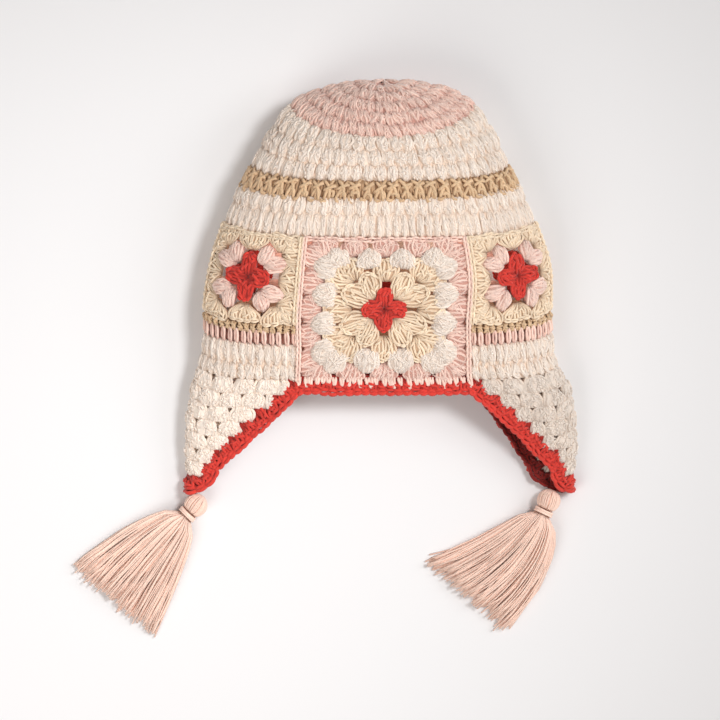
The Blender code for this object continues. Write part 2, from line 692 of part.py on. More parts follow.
def tassel_head(tassel, centre):
    """A ball of yarn with the neck that its binding draws in."""
    last = math.asin(NECK_RADIUS / HEAD_RADIUS)
    angles = np.linspace(math.radians(HEAD_START), last, HEAD_RINGS)
    ball = [(HEAD_RADIUS * math.cos(a), HEAD_RADIUS * math.sin(a)) for a in angles]
    neck_end = HEAD_RADIUS + NECK_LENGTH
    profile = [*ball, (neck_end, NECK_RADIUS)]
    return turned_solid(tassel.name + "_head", profile, tassel, centre, HEAD_SIDES, "tassel")


def binding(tassel, centre):
    """The yarn wound round the neck, a gap clear of it."""
    ahead, side, up = along_aim(tassel)
    ring_radius = NECK_RADIUS + GAP + BINDING_RADIUS
    ball_end = HEAD_RADIUS * math.cos(math.asin(NECK_RADIUS / HEAD_RADIUS))
    place = ball_end + GAP + BINDING_RADIUS * BINDING_SEAT
    bm = bmesh.new()
    rings = []
    for i in range(BINDING_AROUND):
        a = 2 * math.pi * (i + 0.5) / BINDING_AROUND
        out = math.cos(a) * side + math.sin(a) * up
        ring = []
        for j in range(BINDING_SIDES):
            b = 2 * math.pi * j / BINDING_SIDES
            radius = ring_radius + BINDING_RADIUS * math.cos(b)
            ring.append(bm.verts.new(centre + radius * out + (place + BINDING_RADIUS * math.sin(b)) * ahead))
        rings.append(ring)
    for i in range(BINDING_AROUND):
        for j in range(BINDING_SIDES):
            n, m = (i + 1) % BINDING_AROUND, (j + 1) % BINDING_SIDES
            bm.faces.new((rings[i][j], rings[n][j], rings[n][m], rings[i][m]))
    bmesh.ops.recalc_face_normals(bm, faces=bm.faces)
    return new_object(tassel.name + "_binding", bm, "tassel")


def tassels(edging):
    """Both tassels, each a head fused to its locks, and a binding round its neck."""
    points = face_samples(edging)
    for tassel in TASSELS:
        centre = head_centre(tassel, points)
        locks = skirt(tassel, centre)
        head = tassel_head(tassel, centre)
        head.hide_render = True
        head.display_type = "WIRE"
        join = locks.modifiers.new("head", "BOOLEAN")
        join.operation = "UNION"
        join.solver = "EXACT"
        join.object = head
        binding(tassel, centre)


def main():
    clear_scene()
    crown()
    squares()
    side_rows()
    for flap in FLAPS:
        ear_flap(flap)
    tassels(red_edging())


main()
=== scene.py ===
"""The looks of a crocheted hat with granny squares, ear flaps and two tassels, lying on its back.

Metres, +Z up, in the frame of the CAD model. All fabric lies on one curved sheet, as in the model. A place
on it has two coordinates. The first, around, runs from the left fold (0) over the front to the right fold (1)
and back under the hat to the left fold (2). The second, along, is the length of fabric from the middle of
the crown. Every stitch is made of strands of yarn, laid on that sheet with a lift above or below it.
"""

import math
from collections import namedtuple

import bpy
import numpy as np
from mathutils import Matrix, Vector


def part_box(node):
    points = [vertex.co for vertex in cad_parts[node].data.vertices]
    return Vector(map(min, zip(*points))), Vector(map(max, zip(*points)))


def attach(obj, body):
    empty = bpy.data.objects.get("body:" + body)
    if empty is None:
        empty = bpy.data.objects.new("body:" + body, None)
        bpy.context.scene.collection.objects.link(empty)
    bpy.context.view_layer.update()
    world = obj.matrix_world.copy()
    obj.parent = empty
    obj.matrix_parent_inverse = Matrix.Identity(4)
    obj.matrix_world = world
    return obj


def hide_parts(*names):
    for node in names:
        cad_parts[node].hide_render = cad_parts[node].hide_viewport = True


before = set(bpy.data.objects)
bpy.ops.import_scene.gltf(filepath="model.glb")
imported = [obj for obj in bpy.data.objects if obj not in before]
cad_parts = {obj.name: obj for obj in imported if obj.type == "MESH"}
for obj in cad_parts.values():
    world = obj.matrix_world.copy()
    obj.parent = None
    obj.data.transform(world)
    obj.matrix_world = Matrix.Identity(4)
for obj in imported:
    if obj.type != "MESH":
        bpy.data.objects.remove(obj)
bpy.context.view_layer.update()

# Sizes of the hat as it lies, as in the CAD model
CROWN_TO_BRIM = 0.213
HALF_WIDTH = 0.1215
HEIGHT = 0.064
ORIGIN_TO_CROWN = 0.0851
FABRIC_TO_BRIM = 0.248
FLAP_LENGTH = 0.080
RIGHT_FLAP_LENGTH = 0.079
GAP = 0.0006
EDGING_WIDTH = 0.0085
CLUSTER_PITCH = 0.0155
FLAP_ROW_PITCH = 0.0106
FLAP_FIRST_HOLES = 0.0125
FLAP_HOLE = 0.0034
TIP_RUN = 0.015

# Sizes of a tassel, as in the CAD model
HEAD_RADIUS = 0.0083
NECK_RADIUS = 0.0052
NECK_LENGTH = 0.0052
BINDING_RADIUS = 0.0012
TASSEL_LENGTH = 0.087
SKIRT_HALF_WIDTH = 0.038
SKIRT_HEIGHT = 0.0155
SKIRT_END_HEIGHT = 0.0085

# The loops of the sheet, as in the CAD model
Level = namedtuple("Level", "body flap side_y left right front_drop back_drop side_z front_z back_z run")
LEVELS = [
    Level(0.000, 0.000, 0.000, -0.036, 0.036, 0.000, 0.000, 0.469, 0.469, 0.469, 0.50),
    Level(0.089, 0.000, 0.005, 0.146, 0.218, 0.041, 0.027, 0.469, 0.781, 0.172, 0.50),
    Level(0.181, 0.000, 0.026, 0.329, 0.400, 0.091, 0.069, 0.453, 0.922, 0.039, 0.50),
    Level(0.270, 0.000, 0.077, 0.505, 0.549, 0.117, 0.089, 0.438, 0.969, 0.000, 0.50),
    Level(0.351, 0.000, 0.178, 0.631, 0.657, 0.087, 0.048, 0.422, 1.000, 0.000, 0.50),
    Level(0.431, 0.000, 0.275, 0.722, 0.737, 0.061, 0.020, 0.406, 1.000, 0.000, 0.50),
    Level(0.484, 0.000, 0.332, 0.779, 0.789, 0.061, 0.022, 0.406, 0.984, 0.000, 0.50),
    Level(0.593, 0.000, 0.458, 0.871, 0.881, 0.057, 0.021, 0.375, 0.938, 0.000, 0.50),
    Level(0.718, 0.000, 0.601, 0.949, 0.964, 0.054, 0.022, 0.344, 0.875, 0.000, 0.50),
    Level(0.843, 0.000, 0.746, 0.987, 0.974, 0.054, 0.025, 0.312, 0.781, 0.000, 0.50),
    Level(0.903, 0.000, 0.815, 0.993, 0.986, 0.052, 0.025, 0.289, 0.719, 0.000, 0.45),
    Level(1.000, 0.000, 0.925, 1.028, 1.021, 0.052, 0.027, 0.250, 0.594, 0.000, 0.32),
    Level(1.000, 0.175, 0.925, 1.060, 1.085, 0.048, 0.027, 0.219, 0.516, 0.000, 0.23),
    Level(1.000, 0.400, 0.925, 1.087, 1.115, 0.041, 0.020, 0.188, 0.406, 0.000, 0.15),
    Level(1.000, 0.750, 0.925, 1.100, 1.127, 0.028, 0.018, 0.148, 0.281, 0.000, 0.085),
    Level(1.000, 1.000, 0.925, 1.100, 1.111, 0.015, 0.008, 0.125, 0.234, 0.000, 0.070),
    Level(1.000, 1.300, 0.925, 1.100, 1.094, 0.012, 0.008, 0.120, 0.225, 0.000, 0.070),
]
DOME_SHARE = 0.2
BACK_RUN = 1.2
LOOP_SAMPLES = 96

# Where one row of the fabric ends and the next begins, as shares of FABRIC_TO_BRIM
DISC_END = 0.270
STRIPE_TOP = 0.431
STRIPE_END = 0.484
SQUARES_TOP = 0.593
BEIGE_ROW_TOP = 0.843
PINK_ROW_TOP = 0.863
WHITE_ROWS_TOP = 0.903

# Where the big square begins and ends around the front, as shares of the front from fold to fold
BIG_FROM = 0.288
BIG_TO = 0.742

# The rounds of a square: colour, outer edge as a share of the half square, and clusters on a side
Round = namedtuple("Round", "colour reach clusters look")
BIG_ROUNDS = [
    Round("red", 0.28, 1, "plied"),
    Round("beige", 0.46, 2, "plied"),
    Round("beige", 0.66, 3, "plied"),
    Round("white", 0.85, 4, "puffy"),
    Round("pink", 1.00, 5, "fine"),
]
SMALL_ROUNDS = [
    Round("red", 0.50, 1, "plied"),
    Round("pink", 0.74, 2, "puffy"),
    Round("beige", 1.00, 3, "plied"),
]

# The last field is painted light: it lifts the left flap's colour and lowers the right flap's, as the light
# falls off from left to right
Flap = namedtuple("Flap", "name fold length front_width back_width front_tip back_tip tone")
FLAPS = [
    Flap("left_ear_flap", 0.0, FLAP_LENGTH, BIG_FROM, BIG_FROM, 0.017, 0.013, 2.0),
    Flap("right_ear_flap", 1.0, RIGHT_FLAP_LENGTH, 1 - BIG_TO, 1 - BIG_TO, 0.012, 0.028, -3.0),
]
FLAP_TAPER = 0.95

Tassel = namedtuple("Tassel", "name aim bend")
TASSELS = [
    Tassel("left_tassel", 229.0, -3.0),
    Tassel("right_tassel", 229.0, 16.0),
]

# Thickness of the yarns
WOOL = 0.00112
COTTON = 0.00098
FINE = 0.00080
THICK_RED = 0.00125
TASSEL_STRAND = 0.00050
HAIR = 0.00010
HAIR_STAND = 0.0006

# Where the thin ground that carries the stitches lies below the sheet
GROUND_HIGH = -0.0006
GROUND_LOW = -0.0026
INNER_THIN = 0.0010
NEAR_POLE = 0.012

# The looks of the yarns: surface colour, a darker colour painted as shade deep between the stitches, ply,
# fibres and sheen
Look = namedtuple("Look", "surface deep ply fibre sheen soft")
LOOKS = {
    "white": Look((0.93, 0.800, 0.695), (0.86, 0.670, 0.530), 0.25, 0.9, 0.3, 0.3),
    "pink": Look((0.96, 0.670, 0.565), (0.54, 0.255, 0.200), 0.25, 0.9, 0.4, 0.3),
    "beige": Look((0.92, 0.735, 0.545), (0.52, 0.330, 0.200), 0.8, 0.4, 0.15, 0.25),
    "stripe": Look((0.73, 0.505, 0.310), (0.28, 0.145, 0.070), 0.8, 0.4, 0.15, 0.2),
    "red": Look((0.69, 0.048, 0.032), (0.23, 0.011, 0.008), 0.8, 0.4, 0.15, 0.1),
    "tassel": Look((0.98, 0.730, 0.610), (0.96, 0.610, 0.475), 0.4, 0.4, 0.15, 0.0),
}


def smooth(at, knots, values):
    """A curve through the values, without a corner at any of them."""
    slopes = np.gradient(values, knots)
    row = np.clip(np.searchsorted(knots, at) - 1, 0, len(knots) - 2)
    step = knots[row + 1] - knots[row]
    t = (at - knots[row]) / step
    rise = values[row] * (2 * t**3 - 3 * t**2 + 1) + values[row + 1] * (3 * t**2 - 2 * t**3)
    return rise + step * (slopes[row] * (t**3 - 2 * t**2 + t) + slopes[row + 1] * (t**3 - t**2))


LEVEL_KNOTS = np.array([row.body * FABRIC_TO_BRIM + row.flap * FLAP_LENGTH for row in LEVELS])


def level_value(column, along):
    return smooth(along, LEVEL_KNOTS, np.array([getattr(row, column) for row in LEVELS]))


def half_loop(along, is_front):
    """Points of the loops at these places along, from fold to fold over the front or under the back."""
    angle = np.linspace(-math.pi / 2, math.pi / 2, LOOP_SAMPLES)[None, :]
    left = level_value("left", along)[:, None] * HALF_WIDTH
    right = level_value("right", along)[:, None] * HALF_WIDTH
    half = np.maximum((left + right) / 2, 1e-9)
    side_z = level_value("side_z", along)[:, None] * HEIGHT
    flap_y = np.maximum(along - FABRIC_TO_BRIM, 0.0)[:, None]
    side_y = ORIGIN_TO_CROWN - level_value("side_y", along)[:, None] * CROWN_TO_BRIM - flap_y
    from_fold = half * (1 - np.abs(np.sin(angle)))
    if is_front:
        rise = level_value("front_z", along)[:, None] * HEIGHT - side_z
        run = np.minimum(level_value("run", along)[:, None] * HALF_WIDTH, half)
        drop = level_value("front_drop", along)[:, None] * CROWN_TO_BRIM
        dome = DOME_SHARE * np.cos(angle) ** 2
    else:
        rise = np.maximum(level_value("back_z", along)[:, None] * HEIGHT, 0.0) - side_z
        run = np.minimum(BACK_RUN * side_z, half)
        drop = level_value("back_drop", along)[:, None] * CROWN_TO_BRIM
        dome = 0.0 * angle
    corner = np.sqrt(1 - (1 - np.minimum(from_fold / run, 1.0)) ** 2)
    depth = corner if not is_front else (1 - DOME_SHARE) * corner + dome
    x = (right - left) / 2 + half * np.sin(angle)
    return np.stack([x, side_y - drop * depth, side_z + rise * depth], axis=-1)


GRID_STEPS = 240
GRID_PITCH = 0.002
NORMAL_ROWS = 4
NORMAL_COLUMNS = 3


def sheet_grid():
    """The sheet's points and outward normals on a fine grid, and the lengths of its half loops."""
    along = np.arange(0.0, FABRIC_TO_BRIM + 1.3 * FLAP_LENGTH, GRID_PITCH)
    halves = []
    lengths = []
    for is_front in (True, False):
        loops = half_loop(along, is_front)
        run = np.linalg.norm(np.diff(loops, axis=1), axis=2).cumsum(axis=1)
        run = np.concatenate([np.zeros((len(along), 1)), run], axis=1)
        even = np.linspace(0, 1, GRID_STEPS + 1)
        rows = [
            np.stack([np.interp(even * run[i, -1], run[i], loops[i, :, axis]) for axis in range(3)], axis=1)
            for i in range(len(along))
        ]
        halves.append(np.array(rows))
        lengths.append(np.maximum(run[:, -1], 1e-4))
    points = np.concatenate([halves[0], halves[1][:, -2:0:-1]], axis=1)
    rows = np.arange(len(along))
    down = points[np.minimum(rows + NORMAL_ROWS, rows[-1])] - points[np.maximum(rows - NORMAL_ROWS, 0)]
    across = np.roll(points, -NORMAL_COLUMNS, axis=1) - np.roll(points, NORMAL_COLUMNS, axis=1)
    normals = np.cross(down, across)
    normals /= np.maximum(np.linalg.norm(normals, axis=2, keepdims=True), 1e-12)
    normals[0] = (0.0, 1.0, 0.0)
    return points, normals, np.array(lengths)


GRID, GRID_NORMALS, HALF_LENGTHS = sheet_grid()


def place(around, along, lift):
    """The points at these coordinates, lifted off the sheet."""
    around, along, lift = np.broadcast_arrays(around, along, lift)
    column = (around % 2.0) * GRID_STEPS
    row = np.clip(along / GRID_PITCH, 0, len(GRID) - 1.001)
    c, r = column.astype(int), row.astype(int)
    u, v = (column - c)[..., None], (row - r)[..., None]
    c, d = c % (2 * GRID_STEPS), (c + 1) % (2 * GRID_STEPS)
    found = []
    for grid in (GRID, GRID_NORMALS):
        upper = grid[r, c] * (1 - u) + grid[r, d] * u
        lower = grid[r + 1, c] * (1 - u) + grid[r + 1, d] * u
        found.append(upper * (1 - v) + lower * v)
    return found[0] + lift[..., None] * found[1]


def half_length(around, along):
    """The length of the half loop at this place, from fold to fold."""
    rows = np.arange(HALF_LENGTHS.shape[1]) * GRID_PITCH
    front = np.interp(along, rows, HALF_LENGTHS[0])
    back = np.interp(along, rows, HALF_LENGTHS[1])
    return np.where(around % 2.0 <= 1.0, front, back)


BRIM_ARC = float((half_length(0.5, FABRIC_TO_BRIM) + half_length(1.5, FABRIC_TO_BRIM)) / 2)


class Fabric:
    """The geometry of one piece, gathered from its strands and grounds."""

    def __init__(self):
        self.points, self.corners, self.counts = [], [], []
        self.ply, self.tone, self.depth = [], [], []
        self.size = 0

    def add(self, points, corners, counts, ply, tone, depth):
        lists = (self.points, self.corners, self.counts, self.ply, self.tone, self.depth)
        for gathered, values in zip(lists, (points, corners + self.size, counts, ply, tone, depth)):
            gathered.append(values)
        self.size += len(points)


def unit(vectors):
    return vectors / np.maximum(np.linalg.norm(vectors, axis=-1, keepdims=True), 1e-12)


def tubes(fabric, paths, radii, depth, tones, sides=5):
    """Closed strands swept along the paths, with the given radius and painted depth shade at each point."""
    count, steps = paths.shape[:2]
    tangents = unit(np.gradient(paths, axis=1))
    normals = np.empty_like(paths)
    helper = np.where(np.abs(tangents[:, 0, 2:3]) < 0.8, [[0.0, 0.0, 1.0]], [[1.0, 0.0, 0.0]])
    normals[:, 0] = unit(np.cross(tangents[:, 0], helper))
    for k in range(1, steps):
        carried = normals[:, k - 1]
        ahead = tangents[:, k]
        normals[:, k] = unit(carried - (carried * ahead).sum(axis=1, keepdims=True) * ahead)
    sidewards = np.cross(tangents, normals)
    turn = 2 * math.pi * np.arange(sides) / sides
    cos, sin = np.cos(turn)[:, None], np.sin(turn)[:, None]
    ring = cos * normals[:, :, None, :] + sin * sidewards[:, :, None, :]
    points = paths[:, :, None, :] + radii[:, :, None, None] * ring
    index = np.arange(count * steps * sides).reshape(count, steps, sides)
    after = np.roll(index, -1, axis=2)
    quads = np.stack([index[:, :-1], after[:, :-1], after[:, 1:], index[:, 1:]], axis=-1).reshape(-1)
    caps = np.concatenate([index[:, 0, ::-1], index[:, -1]], axis=0).reshape(-1)
    counts = np.concatenate([np.full(len(quads) // 4, 4), np.full(2 * count, sides)])
    run = np.linalg.norm(np.diff(paths, axis=1), axis=2).cumsum(axis=1)
    run = np.concatenate([np.zeros((count, 1)), run], axis=1)
    shape = (count, steps, sides)
    ply = np.stack([
        np.broadcast_to(np.cos(turn), shape),
        np.broadcast_to(np.sin(turn), shape),
        np.broadcast_to(run[:, :, None], shape),
    ], axis=-1).reshape(-1, 3)
    tone = np.broadcast_to(tones[:, None, None], shape).reshape(-1)
    shade = np.broadcast_to(depth[:, :, None], shape).reshape(-1)
    fabric.add(points.reshape(-1, 3), np.concatenate([quads, caps]), counts, ply, tone, shade)


# Painted shade: strands at or below the deepest lift take the gap shade colour, those at the highest lift the
# full surface colour
DEEPEST = -0.0016
HIGHEST = 0.0010


def depth_shade(lift):
    return np.clip((lift - DEEPEST) / (HIGHEST - DEEPEST), 0.0, 1.0)


def lay_stitches(fabric, around, along, stitches, rng, inside=False, depth=0.55):
    """Stitches, each group of strands as offsets across, along and out from its place, and soft bodies.

    A group's strands have the shape (stitches, strands, points, 3). The soft bodies lie under them, with
    the shape (stitches, rows, columns, 3)."""
    groups, pillow = stitches
    seen = (around % 2.0 <= 1.0) != inside
    # The soft bodies take the depth value, which paints them part way to the darker gap shade colour, as
    # painted shade under the strands
    lay_bodies(fabric, around[seen], along[seen], pillow[seen], inside, depth)
    lay_bodies(fabric, around[~seen], along[~seen], pillow[~seen][:, :, ::2], inside, depth)
    for number, (strands, radii) in enumerate(groups):
        lay(fabric, around[seen], along[seen], strands[seen], radii[seen], rng, inside=inside)
        if number == 0:
            plain_strands, plain_radii = strands[~seen][:, :, ::2], radii[~seen][:, :, ::2]
            lay(fabric, around[~seen], along[~seen], plain_strands, plain_radii, rng, inside=inside)


def lay_bodies(fabric, around, along, pillow, inside, depth):
    """The soft bodies under the strands of stitches."""
    if len(around) == 0:
        return
    centre_around, centre_along = around[:, None, None], along[:, None, None]
    pillow_along = centre_along + pillow[..., 1]
    span = half_length(centre_around, np.maximum(pillow_along, NEAR_POLE))
    pillow_around = centre_around + pillow[..., 0] / span
    if inside:
        high = inner_lift(pillow[..., 2])
        around_back, along_back = pillow_around[:, :, ::-1], pillow_along[:, :, ::-1]
        low = np.full(high.shape, GROUND_LOW)
        ground(fabric, around_back, along_back, high=low, low=high[:, :, ::-1], depth=depth)
    else:
        ground(fabric, pillow_around, pillow_along, high=pillow[..., 2], depth=depth)


def inner_lift(lift):
    """The lift of the fabric's inner face where its outer face has this lift."""
    return 2 * GROUND_LOW + INNER_THIN - lift


def sides_for(radii, steps):
    """How many sides a strand has: more for a thick one, fewer for a hair or a plain one."""
    if radii.max() <= HAIR:
        return 3
    return 5 if radii.max() > 0.9 * FINE and steps > 6 else 4


def sweep(fabric, points, lift, radii, rng, sides):
    """Strands of yarn, each with a tone of its own, with shade painted by how far they lie above or below the
    sheet.
    """
    steps = points.shape[-2]
    tones = rng.normal(0, 1, points.shape[:2]).reshape(-1)
    shade = depth_shade(lift).reshape(-1, steps)
    tubes(fabric, points.reshape(-1, steps, 3), radii.reshape(-1, steps), shade, tones, sides)


def lay(fabric, around, along, strands, radii, rng, inside=False):
    """Strands, as offsets across, along and out from each stitch's place, swept along the sheet."""
    if len(around) == 0:
        return
    around, along = around[:, None, None], along[:, None, None]
    place_along = along + strands[..., 1]
    place_around = around + strands[..., 0] / half_length(around, np.maximum(place_along, NEAR_POLE))
    lift = strands[..., 2]
    points = place(place_around, place_along, inner_lift(lift) if inside else lift)
    sweep(fabric, points, lift, radii, rng, sides_for(radii, strands.shape[2]))


def ground(fabric, around, along, closed=False, high=GROUND_HIGH, low=GROUND_LOW, depth=0.15):
    """Thin closed sheets that carry the stitches, coloured by their depth value: at the default 0.15 they
    take mostly the painted gap shade colour, as the shade between stitches. around and along have the shape
    (sheets, rows, columns).
    """
    around, along, high = np.broadcast_arrays(around, along, high)
    count, rows, columns = around.shape
    size = 2 * around.size
    top = place(around, along, high)
    bottom = place(around, along, np.minimum(low, high - 0.0004))
    points = np.stack([top, bottom], axis=1)
    index = np.arange(size).reshape(count, 2, rows, columns)
    if closed:
        index = np.concatenate([index, index[..., :1]], axis=3)
    a, b = index[:, 0], index[:, 1]
    faces = [
        [a[:, :-1, :-1], a[:, 1:, :-1], a[:, 1:, 1:], a[:, :-1, 1:]],
        [b[:, :-1, 1:], b[:, 1:, 1:], b[:, 1:, :-1], b[:, :-1, :-1]],
        [a[:, 0, :-1], a[:, 0, 1:], b[:, 0, 1:], b[:, 0, :-1]],
        [a[:, -1, 1:], a[:, -1, :-1], b[:, -1, :-1], b[:, -1, 1:]],
    ]
    if not closed:
        faces.append([a[:, 1:, 0], a[:, :-1, 0], b[:, :-1, 0], b[:, 1:, 0]])
        faces.append([a[:, :-1, -1], a[:, 1:, -1], b[:, 1:, -1], b[:, :-1, -1]])
    corners = np.concatenate([np.stack(face, axis=-1).reshape(-1) for face in faces])
    counts = np.full(len(corners) // 4, 4)
    ply = np.tile([1.0, 0.0, 0.0], (size, 1))
    fabric.add(points.reshape(-1, 3), corners, counts, ply, np.zeros(size), np.full(size, depth))


class NodeTree:
    """Short ways to add nodes to a material. A value is a number, a colour or another node's socket."""

    def __init__(self, material):
        material.use_nodes = True
        self.nodes, self.links = material.node_tree.nodes, material.node_tree.links

    def feed(self, sockets, values):
        for socket, value in zip(sockets, values):
            if isinstance(value, bpy.types.NodeSocket):
                self.links.new(value, socket)
            else:
                socket.default_value = value

    def math(self, operation, *values):
        node = self.nodes.new("ShaderNodeMath")
        node.operation = operation
        self.feed(node.inputs, values)
        return node.outputs[0]

    def attribute(self, name, output="Fac"):
        node = self.nodes.new("ShaderNodeAttribute")
        node.attribute_name = name
        return node.outputs[output]

    def noise(self, scale, detail):
        node = self.nodes.new("ShaderNodeTexNoise")
        places = self.nodes.new("ShaderNodeTexCoord").outputs["Object"]
        self.feed([node.inputs[label] for label in ("Vector", "Scale", "Detail")], (places, scale, detail))
        return node.outputs["Fac"]

    def mix(self, blend, factor, first, second):
        node = self.nodes.new("ShaderNodeMix")
        node.data_type = "RGBA"
        node.blend_type = blend
        self.feed((node.inputs[0], node.inputs[6], node.inputs[7]), (factor, first, second))
        return node.outputs[2]


def yarn_material(colour):
    """Twisted, fibrous yarn with painted shade: lit strands, darker between them where low strands and
    grounds take the gap shade colour, with the ply's grooves winding round, painted darker in the grooves and
    lighter on the ridges.
    """
    look = LOOKS[colour]
    material = bpy.data.materials.new(colour + "_yarn_look")
    tree = NodeTree(material)
    shader = tree.nodes["Principled BSDF"]
    shader.inputs["Roughness"].default_value = 0.88
    shader.inputs["Sheen Weight"].default_value = look.sheen
    shader.inputs["Sheen Roughness"].default_value = 0.6
    shader.inputs["Specular IOR Level"].default_value = 0.25
    shader.inputs["Subsurface Weight"].default_value = look.soft
    shader.inputs["Subsurface Scale"].default_value = 0.0012
    shader.inputs["Subsurface Radius"].default_value = (1.0, 0.96, 0.93)

    split = tree.nodes.new("ShaderNodeSeparateXYZ")
    tree.links.new(tree.attribute("ply", "Vector"), split.inputs[0])
    angle = tree.math("ARCTAN2", split.outputs[1], split.outputs[0])
    winding = tree.math("MULTIPLY", split.outputs[2], PLY_TURN)
    groove = tree.math("SINE", tree.math("ADD", tree.math("MULTIPLY", angle, PLIES), winding))
    fibres = tree.noise(FIBRE_SCALE, 4.0)
    patches = tree.noise(PATCH_SCALE, 2.0)

    # Painted shade: the depth attribute mixes the darker gap shade colour into low strands and grounds,
    # standing in for the shade between stitches
    lit = tree.mix("MIX", tree.attribute("depth"), (*look.deep, 1.0), (*look.surface, 1.0))
    # This attribute varies each strand's colour at random and, on the ear flaps, also carries painted light
    varied = tree.math("MULTIPLY_ADD", tree.attribute("tone"), TONE_SHARE, 1.0)
    grain = tree.math("MULTIPLY_ADD", fibres, 0.28, 0.86)
    wander = tree.math("MULTIPLY_ADD", patches, 0.20, 0.90)
    # Painted shade and highlight: the colour is darker in the ply's grooves and lighter on its ridges
    painted_groove_shade = tree.math("MULTIPLY_ADD", groove, GROOVE_PAINTED_SHADE * look.ply, 1.0)
    wide_shade = tree.math("MULTIPLY", wander, painted_groove_shade)
    shade = tree.math("MULTIPLY", tree.math("MULTIPLY", varied, grain), wide_shade)
    grey = tree.nodes.new("ShaderNodeCombineXYZ")
    tree.feed(grey.inputs, (shade, shade, shade))
    tree.links.new(tree.mix("MULTIPLY", 1.0, lit, grey.outputs[0]), shader.inputs["Base Color"])

    fibre_height = tree.math("MULTIPLY", fibres, look.fibre * 2)
    bump = tree.nodes.new("ShaderNodeBump")
    bump.inputs["Strength"].default_value = 0.4
    bump.inputs["Distance"].default_value = BUMP_DEPTH
    height = tree.math("ADD", tree.math("MULTIPLY", groove, look.ply), fibre_height)
    tree.links.new(height, bump.inputs["Height"])
    tree.links.new(bump.outputs["Normal"], shader.inputs["Normal"])
    return material


PRESSED = 0.0010
FLOOR_CLEAR = 0.0001
FIBRE_SCALE = 900.0
PATCH_SCALE = 55.0
TONE_SHARE = 0.045
# How strongly the ply's grooves are painted darker and its ridges lighter
GROOVE_PAINTED_SHADE = 0.07
BUMP_DEPTH = 0.00022
PLIES = 3
PLY_LENGTH = 0.0030
PLY_TURN = 2 * math.pi / PLY_LENGTH
MATERIALS = {}


def finish_piece(name, fabric, colour, nodes):
    """One mesh object from all the geometry gathered, in place of its CAD nodes."""
    points = np.concatenate(fabric.points)
    pressed = FLOOR_CLEAR + PRESSED * np.exp(np.minimum(points[:, 2] - PRESSED, 0.0) / PRESSED)
    points[:, 2] = np.where(points[:, 2] < PRESSED, np.minimum(pressed, PRESSED), points[:, 2])
    corners = np.concatenate(fabric.corners)
    counts = np.concatenate(fabric.counts)
    mesh = bpy.data.meshes.new(name)
    mesh.vertices.add(len(points))
    mesh.vertices.foreach_set("co", points.astype(np.float32).ravel())
    mesh.loops.add(len(corners))
    mesh.loops.foreach_set("vertex_index", corners.astype(np.int32))
    mesh.polygons.add(len(counts))
    mesh.polygons.foreach_set("loop_start", (np.cumsum(counts) - counts).astype(np.int32))
    mesh.polygons.foreach_set("loop_total", counts.astype(np.int32))
    mesh.polygons.foreach_set("use_smooth", np.ones(len(counts), bool))
    for label, kind, field, values in (
        ("tone", "FLOAT", "value", fabric.tone),
        ("depth", "FLOAT", "value", fabric.depth),
        ("ply", "FLOAT_VECTOR", "vector", fabric.ply),
    ):
        layer = mesh.attributes.new(label, kind, "POINT")
        layer.data.foreach_set(field, np.concatenate(values).astype(np.float32).ravel())
    mesh.update(calc_edges=True)
    if colour not in MATERIALS:
        MATERIALS[colour] = yarn_material(colour)
    mesh.materials.append(MATERIALS[colour])
    thing = bpy.data.objects.new(name, mesh)
    bpy.context.scene.collection.objects.link(thing)
    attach(thing, "root")
    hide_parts(*nodes)
    return thing


# Points along a stitch's strands, a post or link, and a loose strand
STEPS = 9
POST_STEPS = 8
LOOSE_STEPS = 4

# How many loops lie along the top of a star's arm and of a cluster, and how many strands wrap a cluster
STAR_LOOPS = 3
TOP_LOOPS = 4
WRAPS = 4

# Rows of the crown, and the pitches of stitches round the head
CROWN_ROWS = 6
ROUND_PITCH = 0.0084
EDGING_COLUMNS = 260
SKIRT_STRANDS = 400
SKIRT_CLUMPS = 17


def taper(t, end=0.45):
    return end + (1 - end) * np.sin(math.pi * np.clip(t, 0, 1)) ** 0.5


def loose_strands(rng, s, lift, radius, raised, stand, thickness):
    """The lift and radii of short strands that bow up from the soft body. Hairs end in the air."""
    bend = rng.uniform(0.2, 1.0, (*lift.shape[:2], 1))
    bowed = lift + radius * (raised + stand * bend * (1 - 1.5 * s**2))
    bowed = bowed + HAIR_STAND * stand**4 * bend * (s > 0.5)
    return bowed, np.broadcast_to(thickness * taper((s + 1) / 2, 0.4), lift.shape)


